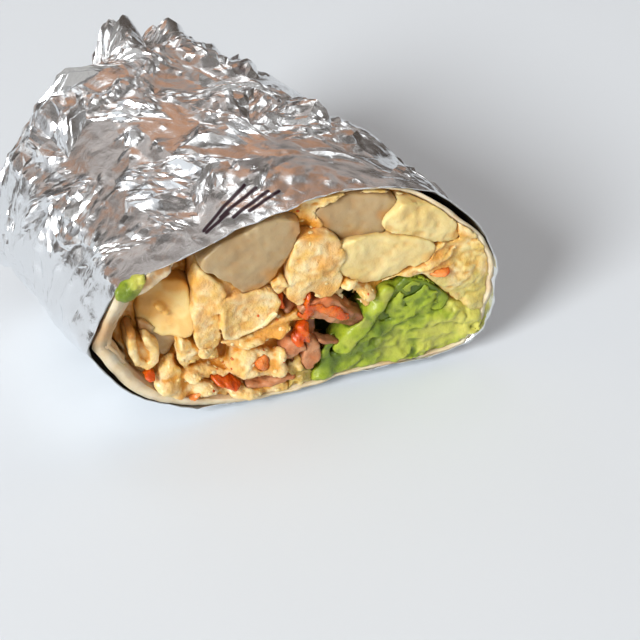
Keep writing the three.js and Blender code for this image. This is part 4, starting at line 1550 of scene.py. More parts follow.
@dataclass
class Filling:
    """Everything inside the tortilla that shows at the cut."""

    roll: Roll
    tortilla: Tortilla
    clearance: float = 0.04
    border: float = 1.5
    relief_reach: float = 3.0
    neighbour_reach: float = 2.5
    hollow_reaches: tuple[float, float] = (0.8, 2.2)

    def build(self) -> None:
        """Carve each piece, the firm ones first, and the egg round them."""
        done: list[Carving] = []
        made = {}
        for piece in [*self.potatoes(), *self.ham(), *self.salsa(), *self.avocado(), *self.egg()]:
            made[piece.name] = self.carve(piece, done)
            done.append(piece)
        for flecks, ground in self.flecks():
            flecks.build([made[name] for name in ground], self.roll)

    def carve(self, piece: Carving, others: list[Carving]) -> bpy.types.Object:
        """Carve one piece.

        Args:
            piece: What to carve.
            others: Pieces that it keeps clear of.

        Returns:
            The object.
        """
        low, high = piece.box()
        grid = Grid(low - self.border, high + self.border, piece.cell)
        values = piece.field(grid)
        near = np.abs(values) < self.relief_reach
        spots = grid.points()[near]
        for relief in piece.reliefs:
            values[near] -= relief.lift(spots)
        together = values.copy()
        for other in others:
            low, high = other.box()
            window = grid.window(low - 1, high + 1)
            if all(w.stop - w.start > 1 for w in window):
                away = np.full(values[window].shape, FAR)
                close = values[window] < self.neighbour_reach
                away[close] = other.distance(grid.points(window)[close])
                together[window] = np.minimum(together[window], away)
                values[window] = np.maximum(values[window], self.clearance - away)
        if piece.within is not Within.NOTHING:
            inside = values < 1
            room = self.tortilla.room if piece.within is Within.TORTILLA else self.tortilla.outside
            depth = self.roll.depth_inside(grid.points()[inside], room)
            values[inside] = np.maximum(values[inside], -depth)
        points, quads = surface_net(values, grid.axes)
        points, quads = drop_small_bodies(points, quads, piece.least)
        reaches = [max(2, round(size / piece.cell)) for size in self.hollow_reaches]
        narrow, wide = (grid.sample(hollows(together, reach, piece.cell), points) for reach in reaches)
        marks = piece.colouring(points, narrow, wide)
        made = make_piece(piece.name, self.roll.from_cut(points), quads, piece.finish.material(), marks)
        install(made, piece.slot, *piece.nodes)
        return made

    @staticmethod
    def potatoes() -> list[Carving]:
        """The six pieces of potato."""
        smooth = [Relief(6, 0.22, seed=2), Relief(1.6, 0.04, seed=3)]
        boiled = dict(
            finish=POTATO, slot=Slot.POTATO, reliefs=smooth, darkest=0.5, hollow_sauce_and_shade=0.3,
            hollow_shade=0.1,
        )
        golden = dict(
            finish=GOLDEN_POTATO, slot=Slot.GOLDEN_POTATO, reliefs=smooth, darkest=0.6, warp=0.7,
            hollow_sauce_and_shade=0.3, hollow_shade=0.15,
        )
        middle = Chunk([(-22.6, 42.2), (-19.5, 46), (-14.5, 48.4), (-8, 50), (-1.6, 48.6), (-2.2, 43.6),
            (-4.8, 38.4), (-7, 34.4), (-10, 32.4), (-13, 32.2), (-16.6, 36)], 1.2, rounding=0.4, dish=-0.4,
            tilt=(0.02, -0.03))
        top = Chunk([(2.2, 48), (7, 50.6), (13.5, 50.4), (19.5, 47), (16.6, 39.4), (9.6, 38.8),
            (6.6, 41.6)], 2.6, rounding=0.6, tilt=(0.0, 0.08))
        upper_right = Chunk([(16.4, 42), (17, 45), (19.6, 47.6), (24.6, 46.8), (30.4, 43.4), (32.4, 39.7),
            (33, 35.6), (27.8, 36.0), (23, 38.4), (18.8, 40.2)], 0.9, rounding=0.35, dish=-0.3)
        right = Chunk([(6.0, 34.4), (6.6, 39.6), (9.2, 41.6), (15.4, 41.2), (22.6, 38.8), (27.4, 35.8),
            (26.4, 31.8), (22, 30.4), (17, 28.4), (14.2, 27.7), (9.8, 30)], 0.5, rounding=0.35, dish=-0.3,
            tilt=(0.0, -0.02))
        left = Chunk([(-35.2, 25), (-35.4, 31), (-33.4, 35.6), (-29, 36.4), (-25.2, 35.8), (-24.2, 33),
            (-24.2, 26.4), (-25.2, 23.2), (-28, 22.8), (-32, 23.6)], 4.6, rounding=0.7, tilt=(-0.3, 0.2))
        lower_left = Chunk([(-34.8, 28.4), (-31, 25.6), (-27.4, 23.8), (-26.4, 22.4), (-27.8, 20),
            (-29.4, 17.8), (-31, 17.0), (-33.4, 21.6), (-35, 25.4)], 4.6, rounding=0.9)

        def piece(place: str, kind: dict, *shapes: Shape, **more) -> Carving:
            """A piece of potato of a kind, and what is more about it."""
            name, nodes = f"potato_chunk_{place}", (f"potato_{place}",)
            return Carving(name, shapes=list(shapes), nodes=nodes, **{**kind, **more})

        return [
            piece(
                "middle", boiled, middle,
                stains=[Mark(-6, 35.5, 5, 0.75), Mark(-1.5, 47, 3.5, 0.6), Mark(-10.5, 32, 4, 0.7)],
            ),
            piece(
                "top", boiled, top,
                stains=[Mark(3, 45, 4, 0.8), Mark(17.6, 44, 3.4, 0.7), Mark(9, 39, 4, 0.5)],
            ),
            piece(
                "upper_right", golden, upper_right, stains=[Mark(32.5, 37, 2.2, 0.7), Mark(17, 42, 2, 0.5)],
            ),
            piece("right", golden, right, stains=[Mark(26.6, 33, 2.4, 0.6), Mark(12, 28.5, 3, 0.5)]),
            # Painted light: the lighter golden finish brightens this piece, which lies in the shade of the
            # foil's lip.
            piece(
                "left", boiled, left, Lump(-30.6, 31.0, 2.8, 2.4, 3, 4.7),
                Lump(-29.6, 29.6, 2.0, 1.6, 3, 4.5, 30), finish=GOLDEN_POTATO, even_stain=0.5,
                stains=[Mark(-27, 36, 5, 1.0), Mark(-32.4, 31, 7.4, 0.8)],
                shades=[Mark(-33.5, 29.5, 2.6, 0.2)],
            ),
            piece(
                "lower_left", boiled, lower_left, even_stain=0.3, stains=[Mark(-26.8, 22, 2, 0.6)],
                shades=[Mark(-35, 26.5, 2.4, 0.6)],
            ),
        ]

    @staticmethod
    def ham() -> list[Carving]:
        """The rolled slice and the three bits of ham."""
        meat = dict(
            finish=HAM, slot=Slot.HAM,
            reliefs=[Relief(2.4, 0.3, True, seed=4, stretch=2.4, turn=-50), Relief(0.9, 0.08, True, seed=5)],
            cell=0.28, least=100, darkest=0.9, warp=0.7,
        )
        roll = [
            Chunk([(-2.4, 26.4), (2.0, 27.4), (5.6, 26.4), (9.2, 22.8), (13.0, 18.6), (11.2, 16.6),
                (8.8, 16.2), (6.2, 18.8), (3.2, 21.2), (-1.0, 23.4)], 0.5, 4.5, 0.7, dish=-0.5,
                tilt=(0.0, -0.16)),
            Fold([(2.2, 15.4), (4.8, 14.0), (7.4, 12.2), (8.8, 11.6)], 1.1, 1.0, 3),
            Chunk([(1.0, 24.6), (2.6, 22.0), (1.6, 16.0), (0.2, 16.4), (-1.0, 22.6)], 3.2, 8, 0.5),
            Lump(-4.4, 25.2, 3.0, 3.0, 8, 5.4),
        ]
        middle = [
            Chunk([(-6.2, 13.6), (-5.4, 16.0), (-3.4, 17.4), (-1.8, 16.2), (-1.2, 13.4), (-3.4, 12.8),
                (-4.6, 12.2)], 0.2, 9, 0.5, tilt=(0.12, 0.1)),
            Fold([(-5.4, 12.0), (-4.0, 11.0), (-3.6, 9.4)], 0.9, 0.9, 8),
        ]
        low = [
            Chunk([(0.2, 16.6), (1.9, 14.2), (2.2, 10.6), (0.8, 7.6), (-0.8, 7.6), (-1.5, 11.4)], 0.2, 9,
                0.6, tilt=(0.2, 0)),
        ]
        strip = [Fold([(-14, 6.4), (-9.5, 6.0), (-6, 6.4), (-4.0, 6.2)], 1.2, 0.5, 10)]
        return [
            Carving("ham_roll", shapes=roll, nodes=("ham_rolled",), stains=[Mark(2.4, 26, 4.6, 0.9)],
                    smears=[Mark(10.4, 20, 5.4, 0.8), Mark(6, 13, 5, 0.6)],
                    shades=[Mark(-5, 25.6, 2.4, 0.5), Mark(10.6, 17, 2.6, 0.5), Mark(2, 18.6, 3, 0.8),
                            Mark(7.6, 17.4, 2.4, 0.4)], **meat),
            Carving("ham_bits_middle", shapes=middle, nodes=("ham_middle",), even_stain=0.4, **meat),
            Carving("ham_bit_low", shapes=low, nodes=("ham_low",), even_stain=0.3, **meat),
            Carving("ham_strip_bottom", shapes=strip, nodes=("ham_bottom",), even_stain=0.5, **meat),
        ]

    @staticmethod
    def salsa() -> list[Carving]:
        """The seven bits of tomato and salsa."""
        pulp = dict(
            finish=SALSA, slot=Slot.TOMATO,
            reliefs=[Relief(1.5, 0.28, True, seed=6), Relief(0.8, 0.08, seed=7)], cell=0.25, least=40,
            warp=0.7, melt=1.2, hollow_sauce_and_shade=0.6,
            smears=[
                Mark(-27, 6.4, 5, 0.8), Mark(-10.8, 13.6, 3, 0.7), Mark(28.4, 27.8, 4, 0.9),
                Mark(3, 24.6, 3, 0.4),
            ],
        )
        places = {
            "middle": [
                Lump(2.0, 25.6, 7.0, 3.0, 2.0, 0.5, -6), Lump(-0.6, 24.2, 3.6, 2.6, 2.0, 0.7, 20),
                Lump(5.0, 23.6, 4.6, 3.0, 1.8, 0.1, -40), Lump(7.0, 21.8, 2.6, 1.6, 1.6, 0.0, -50),
                Lump(-5.6, 27.4, 1.6, 5.0, 5, 3.6), Lump(-0.4, 28.0, 1.4, 3.4, 4, 1.4, -14),
            ],
            "centre": [
                Lump(-1.8, 19.6, 2.8, 3.4, 4, 0.9, 20), Lump(-2.8, 17.4, 2.6, 1.8, 3, 0.5, -30),
                Lump(-0.8, 17.2, 1.4, 2.2, 3, 0.8),
            ],
            "egg": [Lump(-10.8, 12.6, 3.0, 3.4, 4, 0.9, 30), Lump(-9.6, 13.8, 1.4, 1.4, 2, 0.7)],
            "low": [Lump(-19.8, 10.2, 4.6, 1.5, 4, 1.6, -24), Lump(-17.2, 8.6, 3.8, 1.6, 4, 1.4, -14)],
            "bottom": [Lump(-27.6, 6.2, 4.8, 2.2, 4, 1.1, 10), Lump(-24.6, 7.2, 2.2, 1.4, 3, 1.2, 30)],
            "left": [Lump(-34.8, 15.8, 2.8, 1.7, 4, 1.7, -10)],
            "right": [Lump(28.4, 27.8, 4.4, 1.3, 3, 0.5, 12)],
        }
        return [
            Carving(f"tomato_pulp_{place}", shapes=lumps, nodes=(f"tomato_{place}",), **pulp)
            for place, lumps in places.items()
        ]

    @staticmethod
    def avocado() -> list[Carving]:
        """The mashed avocado, with a glossy ridge and a smooth cut slice, and the dab on the wrap's edge."""
        body = Chunk([(9, 12.4), (13, 16), (17, 21), (19.4, 24.4), (22, 26.6), (26.4, 25.6), (29.6, 22.4),
            (32, 18.4), (36, 16), (40.6, 14.6), (44, 7), (34, -2), (20, -2), (5, -2), (0, 2), (4, 9)], 0.9,
            52, 1.2)
        strokes = [
            Fold([(10, 11), (15, 14.2), (19.6, 17.0), (22.6, 17.6)], 2.2, 0.6, 6),
            Fold([(4.4, 6.4), (3.0, 10.0), (4.6, 14.2)], 2.8, 0.6, 8),
            Fold([(22, 13.6), (27.6, 15.2), (33, 14.4), (37.4, 12.2)], 2.8, 0.1, 6),
            Fold([(11, 8.0), (17, 10.2), (24, 10.4)], 2.6, 0.4, 6),
            Fold([(13, 5.6), (20, 6.4), (27, 5.6)], 2.6, 0.5, 6),
            Fold([(26, 9.0), (31, 10.4), (36, 8.6)], 3.0, 0.2, 6),
            Fold([(31, 6.2), (37, 6.4), (40, 9.4)], 2.8, 0.3, 6),
            Fold([(38.6, 12.0), (39.6, 8.6)], 2.6, 0.1, 6),
        ]
        cut = [
            Fold([(7.6, 12.0), (10.8, 15.8), (14.0, 20.0), (17.6, 24.8)], 3.7, -0.2, 8),
            Chunk([(14, 15.6), (17.4, 20.4), (20.6, 26.6), (26.2, 26.2), (29, 22.8), (31.4, 18.8),
                (29.6, 16.6), (25, 17.2), (20, 16.6)], 0.95, 10, 0.8, tilt=(-0.07, -0.02)),
        ]
        lumps = [Lump(8.0, 6.2, 4.6, 3.0, 4, 1.4, 14), Lump(2.4, 4.4, 5.0, 2.6, 4, 1.5, 6)]
        mash = Carving(
            "avocado_mash", AVOCADO, Slot.AVOCADO, shapes=[body, *strokes, *lumps],
            holes=[
                Chunk([(2.6, 19.4), (5.6, 18.0), (8.2, 15.2), (7.2, 12.9), (4.4, 14.6), (2.6, 16.2)], -3,
                    10, 0.4),
                *HOLLOWS,
            ],
            nodes=("avocado",),
            reliefs=[
                Relief(4.0, 0.5, seed=8, stretch=1.6, turn=40),
                Relief(2.2, 0.4, True, seed=9, stretch=1.3, turn=30), Relief(1.1, 0.16, True, seed=13),
            ],
            melt=1.4, warp=1.1, cell=0.34,
            smears=[Mark(37, 11, 8, 1.0), Mark(30, 10, 8, 0.7), Mark(20, 8, 6, 0.4), Mark(35, 15.6, 6, 1.0)],
            stains=[
                Mark(15.6, 14.4, 3, 0.9), Mark(5, 9, 4.8, 0.9), Mark(24, 15.6, 3, 0.7), Mark(4, 14, 3, 0.9),
                Mark(13, 10, 5, 0.8),
            ],
            shades=[Mark(17.8, 17.4, 1.4, 0.4), Mark(6.6, 8.6, 2.4, 0.4), Mark(10, 7, 3, 0.3)],
            hollow_sauce_and_shade=0.7, hollow_shade=0.6, darkest=0.8,
        )
        slice_ = Carving(
            "avocado_slice", AVOCADO, Slot.AVOCADO, shapes=cut, nodes=(),
            reliefs=[Relief(4.0, 0.25, seed=16), Relief(1.8, 0.08, True, seed=17, stretch=2.5, turn=52)],
            melt=1.2, warp=0.8, cell=0.32,
            smears=[Mark(16.6, 24.2, 2.4, 0.5), Mark(12, 18.2, 2.2, 0.35), Mark(8.6, 13.8, 2.2, 0.3)],
            stains=[Mark(25, 22, 8.5, 1.0), Mark(20, 18, 4, 1.0)], even_stain=0.7,
            shades=[Mark(19.4, 20.6, 1.6, 0.35), Mark(16.6, 17.2, 1.6, 0.4), Mark(23.5, 22.5, 6, 0.4)],
            darkest=0.8,
        )
        dab = Carving(
            "avocado_dab_on_edge", AVOCADO, Slot.AVOCADO,
            shapes=[
                Lump(-37.8, 41.6, 5.0, 4.4, 4.2, -0.2, 30), Lump(-35.8, 43.0, 3.8, 3.2, 3.4, -0.2, 36),
                Lump(-34.4, 43.8, 2.0, 2.0, 2.2, -0.2),
            ],
            nodes=("avocado_dab",), reliefs=[Relief(1.8, 0.45, True, seed=14), Relief(0.8, 0.1, seed=15)],
            cell=0.25, within=Within.NOTHING, smears=[Mark(-34.6, 43.4, 3, 0.8)],
            stains=[Mark(-38, 40.6, 4, 0.8)],
        )
        return [slice_, mash, dab]

    @staticmethod
    def egg() -> list[Carving]:
        """The scrambled egg: smooth folds and blocks, and a bed of curds behind and round them."""
        beds = [
            Chunk([(-46, 8), (-46, 30), (-36, 44), (-24, 54), (-12, 54), (-16, 30), (-20, 2), (-34, 2)],
                7.4, 12, 1.0, tilt=(0, 0.12)),
            Chunk([(-25, 0), (-25, 24), (-20, 30), (-18, 44), (-12, 57), (8, 58), (10, 30), (8, 0)], 4.0,
                14, 1.0),
            Chunk([(4, 2), (4, 58), (26, 56), (40, 44), (46, 28), (46, 8), (38, 1)], 2.8, 15, 1.0),
        ]
        column = [
            Chunk([(-22.3, 41.2), (-23.4, 37.3), (-24.6, 31.8), (-24.2, 29.6), (-21.6, 28.8), (-18.7, 29.4),
                (-17.6, 34), (-19.6, 38.2)], 1.2, 12, 0.7, tilt=(-0.18, 0.04)),
            Chunk([(-24.9, 31), (-24.9, 25), (-24.2, 20), (-22.2, 17.6), (-19.8, 18.6), (-19.1, 22),
                (-19.1, 28.6), (-21.4, 30.4)], 0.9, 12, 0.7, tilt=(0.1, -0.03)),
            Chunk([(-19.4, 37.4), (-18.2, 32.4), (-15, 31.2), (-13, 32.2), (-16, 35.6)], 2.6, 10, 0.9),
        ]
        petal = [
            Chunk([(-17.8, 32.6), (-13, 32.6), (-7.2, 31), (-6.2, 26), (-11.4, 22.4), (-17.8, 21.2),
                (-19, 23), (-18.6, 28.6)], 0.5, 10, 0.5, dish=0.5, tilt=(0.04, 0.05)),
            Fold([(-18.2, 29.4), (-18.5, 23.6), (-17.4, 21.6), (-11.6, 22.8), (-7.2, 25.8)], 1.1, -0.1, 3),
        ]
        flank = [
            Chunk([(-19.6, 20.3), (-16.4, 17.5), (-10.7, 16.8), (-8, 18), (-5, 22.0), (-1.4, 21.8),
                (1.0, 21.8), (1.0, 23.2), (-4.5, 24), (-8.2, 23.2), (-13.4, 20.8)], 0.7, 10, 0.9,
                tilt=(0, -0.14)),
            Lump(-12.5, 18.8, 7, 2.4, 5, 1.2, 4), Lump(-6.0, 20.4, 4.4, 2.6, 5, 1.4, 40),
        ]
        lower = [
            Chunk([(-17.4, 13.6), (-16.2, 16.4), (-13, 17), (-10.4, 16), (-6, 13.2), (-5.4, 9.4),
                (-7.4, 7.6), (-10.4, 7.4), (-14, 8), (-17, 10.6)], 0.3, 10, 1.8, dish=-0.4),
            Lump(-7.0, 9.6, 4.0, 3.6, 6, 1.6, 30), Lump(-6.6, 13.6, 2.4, 4.0, 5, 1.2, -20),
            Chunk([(-27.6, 23.2), (-24, 20), (-20.6, 19.2), (-18.9, 16.4), (-20, 14.6), (-23, 15),
                (-26.3, 14.2), (-28, 17), (-28.4, 20.6)], 1.0, 10, 1.6, tilt=(0.05, -0.12)),
            Lump(-22.2, 19.0, 4, 2.2, 6, 1.4, -10),
            Chunk([(-31.8, 15.4), (-30.4, 17.4), (-28.4, 17.0), (-27.6, 14), (-28.4, 11), (-30.4, 9.6),
                (-32, 12)], 0.9, 9, 1.0, tilt=(-0.1, 0)),
            Lump(-31.2, 11.4, 6.0, 4.4, 6, 1.6, -30),
            Chunk([(-28.6, 13.6), (-25, 14.4), (-20.8, 12.8), (-18, 11.2), (-18.2, 9.6), (-24.2, 10.8),
                (-29.2, 11)], 1.1, 9, 1.1),
            Lump(-25.6, 12.6, 3.6, 2.2, 6, 1.2, 10),
            Chunk([(-33, 10.8), (-29.4, 11.2), (-24.6, 9.8), (-21.8, 8.1), (-15.8, 6.2), (-11, 5.4),
                (-6.6, 6), (-4.6, 2), (-18, 1.5), (-30, 2.5)], 0.8, 10, 0.9),
            Lump(-23.2, 8.2, 6, 2.8, 5, 0.9, -14), Lump(-14.4, 5.0, 8, 2.2, 5, 0.9, -6),
            Lump(-29.4, 9.2, 5, 2.6, 5, 1.0, 6),
        ]
        leaf = [
            Fold([(-37.4, 27.0), (-37.7, 22.6), (-36.8, 19.4), (-34.8, 17.6), (-33.0, 18.8), (-33.2, 22.2),
                (-34.6, 25.4)], 1.9, 1.4, 12),
            Chunk([(-37.4, 25), (-37.4, 20.4), (-35, 18), (-33, 19.4), (-33.6, 23)], 2.6, 10, 0.8),
        ]
        upper = [
            Chunk([(-2.4, 48.5), (1.4, 50.2), (4.8, 46), (4.4, 43.8), (0, 45.4),
                (-2.8, 44.6)], 3.6, 10, 1.2),
            Chunk([(-8.5, 33.6), (-6.6, 34.9), (-4.9, 34.0), (-4.5, 32.4), (-7, 31.2)], 0.2, 8, 0.6),
            Lump(8.6, 30.2, 4.4, 2.2, 6, 1.4, 12),
            Chunk([(9.2, 29.2), (12.8, 28.2), (15.2, 24.8), (15.2, 21.6), (13, 20.2), (11.6, 24),
                (10.2, 26.6)], 1.4, 8, 1.0),
            Lump(12.4, 26.0, 3.4, 3.0, 5, 1.2, -30),
        ]
        block = Chunk([(-4.4, 38.6), (-3.2, 43.2), (0.6, 44.6), (5.4, 43), (7.2, 39), (6.6, 35),
            (7.2, 31.4), (5.8, 28.2), (3.2, 26.8), (1.6, 28.0), (0.2, 30.0), (-1.0, 28.0), (-2.8, 26.8),
            (-4.6, 29), (-4.8, 34)], 0.3, 12, 0.45, dish=-0.3)
        right = [
            Chunk([(31.4, 45.6), (36, 38), (40, 31), (44, 22), (43, 12), (38, 14), (34.3, 17.2), (29, 23.4),
                (25.8, 26.8), (20, 28.2), (16, 28.6), (22, 30), (26.8, 31.4), (29.4, 35.4), (33.2, 35.6),
                (31, 42)], 0.5, 14, 0.8),
            Fold([(26.2, 31.4), (28, 34), (30.4, 35.4)], 0.9, 0.1, 8),
            Fold([(24.6, 29.2), (29, 31), (32.4, 32.6)], 1.4, -0.1, 8),
        ]
        slit = Chunk([(-19.4, 24.6), (-19.2, 21.8), (-18.7, 21.8), (-18.9, 24.6)], -3, 7, 0.1)
        holes = [
            Chunk([(1.6, 48), (7, 51.2), (13.5, 51), (20.2, 47.6), (16.8, 39.2), (9.6, 38.4),
                (6.2, 41.6)], -3, 8, 0.3),
            Chunk([(-5.2, 31.2), (-6.5, 29.4), (-6.3, 25.4), (-4.6, 24.6), (-4.1, 27.6)], -3, 10, 0.4),
            slit, Chunk([(-19.1, 17.2), (-17.6, 17.0), (-17.8, 13.8), (-19.1, 13.8)], -3, 8, 0.3),
            Chunk([(8, 27.4), (9.4, 26.6), (10.6, 23), (12.6, 19.4), (11.2, 19), (8.4, 23.4)], -3, 11, 0.4),
            Chunk([(2.4, 19.8), (5.6, 18.4), (9.2, 15.8), (8.0, 12.4), (4.6, 13.4), (2.4, 16)], -3, 12, 0.5),
            Chunk([(-4.6, 11.6), (-3, 11.8), (-2.6, 9.6), (-4.2, 8.8)], -3, 7, 0.3), *HOLLOWS,
        ]
        smooth = dict(finish=EGG, slot=Slot.EGG, nodes=(), melt=0.45, darkest=0.8, hollow_shade=0.25)
        return [
            Carving(
                "egg_block", shapes=[block],
                reliefs=[
                    Relief(5.0, 0.35, seed=18), Relief(1.8, 0.08, True, seed=19),
                    Relief(1.0, 0.05, seed=20),
                ],
                stains=[
                    Mark(0.5, 45, 4, 0.8), Mark(3, 29.4, 4, 0.6), Mark(-3.4, 29, 3, 0.7),
                    Mark(5.6, 41, 2.4, 0.5),
                ],
                warp=0.6, cell=0.3, hollow_sauce_and_shade=0.65, **smooth,
            ),
            Carving(
                "egg_folds", shapes=[*column, *petal], holes=[slit],
                reliefs=[
                    Relief(5.0, 0.4, seed=28), Relief(2.4, 0.22, True, seed=29), Relief(1.1, 0.07, seed=30),
                ],
                stains=[
                    Mark(-16, 34, 4.4, 0.7), Mark(-24.6, 26, 2.4, 0.6), Mark(-23, 37, 4, 0.6),
                    Mark(-22.4, 29.2, 3, 0.5), Mark(-12.4, 30.4, 2.6, 0.5),
                ],
                hollow_sauce_and_shade=0.65, cell=0.3, **smooth,
            ),
            Carving(
                "egg_leaf", shapes=leaf, reliefs=[Relief(3.0, 0.25, seed=21), Relief(1.0, 0.08, seed=22)],
                shades=[Mark(-38, 29, 4, 0.8), Mark(-35.4, 23.4, 1.4, 0.5)], even_stain=0.4,
                hollow_sauce_and_shade=0.9, warp=0.35, cell=0.28, **smooth,
            ),
            Carving(
                "egg_at_right", shapes=right,
                reliefs=[
                    Relief(5.0, 0.5, seed=23), Relief(2.2, 0.25, True, seed=24), Relief(1.0, 0.1, seed=25),
                ],
                stains=[
                    Mark(27.6, 32.6, 2.8, 0.9), Mark(29.6, 28.6, 3.6, 0.8), Mark(33, 36, 3, 0.6),
                    Mark(33, 41, 3, 0.5),
                ],
                smears=[Mark(38, 20, 9, 0.75), Mark(36, 30, 7, 0.35), Mark(29, 25, 3, 0.6)],
                shades=[Mark(30.4, 35.6, 1.2, 0.9)],
                holes=[Chunk([(28.9, 36.6), (31.8, 35.4), (31.9, 34.8), (29.2, 35.9)], -3, 6, 0.1)],
                warp=0.8, cell=0.32, **smooth,
            ),
            Carving(
                "egg_and_avocado_mush",
                shapes=[
                    Chunk([(-4.3, 10.2), (-1.8, 11.5), (0.3, 8), (1.6, 2.7), (-2.5, 1), (-4.6, 2.6)], 0.8,
                        8, 1.0),
                    Lump(-2.4, 9.0, 2.6, 3.0, 4, 1.8, 30), Lump(-1.4, 5.6, 3.4, 2.2, 4, 1.7, -20),
                ],
                reliefs=[Relief(1.8, 0.5, True, seed=26), Relief(1.0, 0.2, True, seed=27)],
                smears=[Mark(-1.6, 6.4, 7, 0.75)], shades=[Mark(-2, 7, 6, 0.35)], warp=0.8, cell=0.3,
                **smooth,
            ),
            Carving(
                "tortilla_flap", TORTILLA, Slot.TORTILLA,
                shapes=[
                    Chunk([(-28.4, 43.4), (-30.2, 46.8), (-34.2, 45.8), (-36.8, 41.6), (-36.6, 39.8),
                        (-33.0, 41.0)], -0.5, 2.2, 0.4, tilt=(0.1, 0.1)),
                ],
                nodes=(), reliefs=[Relief(2.4, 0.3, seed=31), Relief(1.0, 0.1, seed=32)],
                stains=[Mark(-31, 44.6, 1.6, 0.9), Mark(-33.6, 43, 1.6, 0.7), Mark(-29.2, 44.6, 1.2, 0.8)],
                melt=0.5, warp=0.5, cell=0.25, least=100, within=Within.FOIL,
            ),
            Carving(
                "egg_curds", EGG, Slot.EGG, shapes=[*beds, *flank, *lower, *upper], holes=holes,
                nodes=("egg",),
                reliefs=[
                    Relief(5.0, 0.4, seed=10), Relief(2.3, 0.34, True, seed=11),
                    Relief(1.2, 0.16, True, seed=12),
                ],
                melt=0.9, warp=0.75, cell=0.34, least=3000,
                stains=[
                    Mark(-17, 18.5, 3, 0.7), Mark(-8, 21.0, 6, 0.9), Mark(-9.5, 12, 3, 0.8),
                    Mark(-23, 17, 3, 0.7), Mark(-1, 22.5, 3, 0.9), Mark(1, 46, 4, 1.0),
                    Mark(-28, 7, 4, 0.8), Mark(-20, 12.6, 3, 0.5), Mark(-24, 26, 2.6, 0.5),
                    Mark(12, 22, 3, 0.6),
                ],
                smears=[Mark(1.5, 19, 3, 0.4)],
                # Painted shade under the roof and in the dark holes.
                shades=[
                    Mark(-22, 48, 5, 0.4), Mark(-10, 53, 5, 0.5), Mark(-25.6, 34, 3, 0.4),
                    Mark(-5.4, 28, 1.6, 1.0), Mark(-18.4, 15.6, 1.4, 0.9), Mark(5.4, 16.2, 2.6, 1.0),
                    Mark(10, 22.6, 1.8, 1.0), Mark(-3.6, 10.4, 1.6, 0.7),
                ],
                even_stain=0.3, hollow_sauce_and_shade=0.95, hollow_shade=0.35, darkest=0.5,
            ),
        ]

    @staticmethod
    def flecks() -> list[tuple[Flecks, tuple[str, ...]]]:
        """Bits of salsa and crumbs of egg, and what each lies on."""
        eggs = ("egg_curds", "egg_folds", "egg_block")
        salsa = Flecks(
            "salsa_flecks", SALSA, Slot.TOMATO,
            places=[
                Mark(-1, 20, 5, 0.5), Mark(-8, 23, 7, 0.1), Mark(-10, 13, 6, 0.15), Mark(-19, 12, 7, 0.12),
                Mark(-22, 18, 7, 0.03), Mark(-2, 28, 5, 0.08), Mark(-27, 8, 6, 0.08), Mark(0, 46, 4, 0.06),
                Mark(12, 24, 4, 0.06),
            ],
            size=0.38, apart=1.0,
        )
        crumbs = Flecks(
            "egg_crumbs", EGG, Slot.EGG,
            places=[
                Mark(-10, 20, 9, 0.3), Mark(-24, 14, 9, 0.4), Mark(-8, 9, 8, 0.4), Mark(2, 28, 6, 0.25),
                Mark(11, 25, 5, 0.7), Mark(1, 46, 4, 0.3),
            ],
            size=0.6, apart=1.2, seed=7,
        )
        return [(salsa, eggs), (crumbs, eggs)]


# ---- Studio ----


@dataclass(frozen=True)
class Patch:
    """A lit or dark part of the surroundings: where it is, its radii in degrees, and its light."""

    direction: tuple[float, float, float]
    inner: float
    outer: float
    colour: str
    strength: float


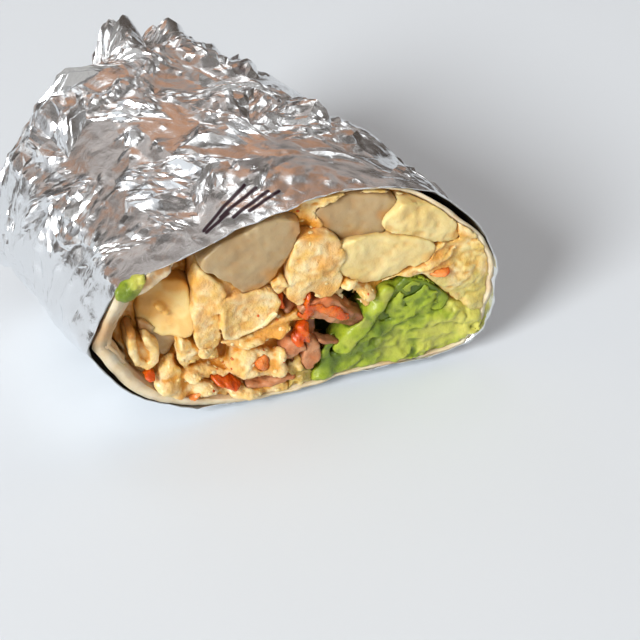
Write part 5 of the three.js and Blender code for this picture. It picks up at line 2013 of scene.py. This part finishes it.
@dataclass
class Studio:
    """A pale floor, soft light and the camera. The lamp's place and size are in metres."""

    floor_half: float = 3000.0
    floor_drop: float = 0.1
    eye: tuple[float, float, float] = (-165.03, -208.0, 251.3)
    view: tuple[float, float, float] = (0.4988, 0.5349, -0.6820)
    lens: float = 90.0
    key_at: tuple[float, float, float] = (-2.60, -0.30, 1.78)
    key_aim: tuple[float, float, float] = (0.0, 0.0, 0.02)
    key_size: float = 1.24
    key_energy: float = 105.0
    patches: tuple[Patch, ...] = (
        Patch((0.62, 0.55, 0.45), 8, 20, "#c6bcb6", 0.6), Patch((0.3, 0.58, 0.72), 12, 28, "#c08a64", 0.85),
        Patch((-0.16, 0.56, 0.8), 6, 20, "#ddd2cc", 0.75), Patch((-0.95, 0.1, 0.28), 14, 32, "#f2f4f8", 0.7),
        Patch((-0.5, 0.62, 0.58), 6, 18, "#b98f74", 0.85), Patch((0.45, 0.75, 0.4), 5, 12, "#4b4248", 0.6),
        Patch((0.02, 0.95, 0.3), 4, 11, "#3a3940", 0.6), Patch((-0.2, -0.92, 0.3), 22, 45, "#fdfaf6", 0.5),
        Patch((0.1, 0.3, 0.95), 4, 11, "#ffffff", 2.2), Patch((0.6, -0.1, 0.78), 6, 13, "#ffffff", 2.4),
        Patch((-0.1, -0.35, 0.93), 6, 14, "#ffffff", 2.0), Patch((0.15, 0.85, 0.5), 3, 8, "#ffffff", 2.2),
        Patch((-0.45, 0.85, 0.25), 6, 14, "#ffffff", 1.6),
    )

    def build(self) -> None:
        """Set up everything round the part."""
        self.make_floor()
        self.make_world()
        self.make_key()
        self.make_camera()

    def make_floor(self) -> None:
        """Lay the floor."""
        half = self.floor_half
        corners = np.array([[-half, -half], [half, -half], [half, half], [-half, half]])
        points = np.column_stack([corners, np.full(4, -self.floor_drop)])
        floor = make_piece("floor", points, np.array([[0, 1, 2, 3]]), StudioFloor("painted_board").material())

    def make_world(self) -> None:
        """Surround the part with soft light, warm behind it and dark in a few places."""
        world = bpy.data.worlds.new("studio")
        bpy.context.scene.world = world
        world.use_nodes = True
        tree = world.node_tree
        tree.nodes.clear()
        place = add_node(tree, "ShaderNodeTexCoord").outputs["Generated"]
        blur = add_node(tree, "ShaderNodeTexNoise", {"Vector": place, "Scale": 2.2, "Detail": 3.0})
        wobble = vector_maths(tree, "SUBTRACT", blur.outputs["Color"], (0.5, 0.5, 0.5))
        bent = vector_maths(tree, "MULTIPLY_ADD", wobble, (0.55, 0.55, 0.55), place)
        facing = vector_maths(tree, "NORMALIZE", bent)
        colour = lit("#eed8c8", 0.115)
        for patch in self.patches:
            dot = vector_maths(tree, "DOT_PRODUCT", facing, Vector(patch.direction).normalized())
            edge = [math.cos(math.radians(radius)) for radius in (patch.outer, patch.inner)]
            colour = mixed(tree, remapped(tree, dot, edge), colour, lit(patch.colour, patch.strength))
        uneven = remapped(tree, noise_texture(tree, place, 4.5, 5.0), (0.38, 0.62), (0.5, 1.5))
        colour = vector_maths(tree, "SCALE", colour, uneven)
        glints = remapped(tree, noise_texture(tree, bent, 7.0, 4.0), (0.5, 0.6), (0.0, 0.65))
        height = add_node(tree, "ShaderNodeSeparateXYZ", {"Vector": place}).outputs["Z"]
        glints = maths(tree, "MULTIPLY", glints, remapped(tree, height, (0.2, 0.5)))
        colour = mixed(tree, glints, colour, lit("#dedcda", 0.85))
        background = add_node(tree, "ShaderNodeBackground", {"Color": colour, "Strength": 1.0})
        output = add_node(tree, "ShaderNodeOutputWorld", {"Surface": background.outputs["Background"]})
        output.is_active_output = True

    def make_key(self) -> None:
        """Hang a large soft lamp to the left of the camera."""
        light = bpy.data.lights.new("key", "AREA")
        light.shape = "DISK"
        light.size = self.key_size
        light.energy = self.key_energy
        light.color = linear("#fdfcfb")[:3]
        lamp = bpy.data.objects.new("key", light)
        lamp.location = self.key_at
        aim = Vector(self.key_aim) - lamp.location
        lamp.rotation_euler = aim.to_track_quat("-Z", "Y").to_euler()
        bpy.context.scene.collection.objects.link(lamp)

    def make_camera(self) -> None:
        """Place the camera."""
        data = bpy.data.cameras.new("camera")
        data.lens = self.lens
        data.clip_start = 0.01
        camera = bpy.data.objects.new("camera", data)
        camera.location = Vector(self.eye) * MM
        camera.rotation_euler = Vector(self.view).to_track_quat("-Z", "Y").to_euler()
        bpy.context.scene.collection.objects.link(camera)
        bpy.context.scene.camera = camera


def main() -> None:
    """Build the burrito and the studio."""
    logging.basicConfig(level=logging.INFO, format="%(name)s: %(message)s")
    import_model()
    bpy.context.scene.view_settings.view_transform = "Standard"
    roll = Roll()
    Studio().build()
    FoilWrap(roll).build()
    tortilla = Tortilla(roll)
    tortilla.build()
    Filling(roll, tortilla).build()


if __name__ == "__main__":
    main()
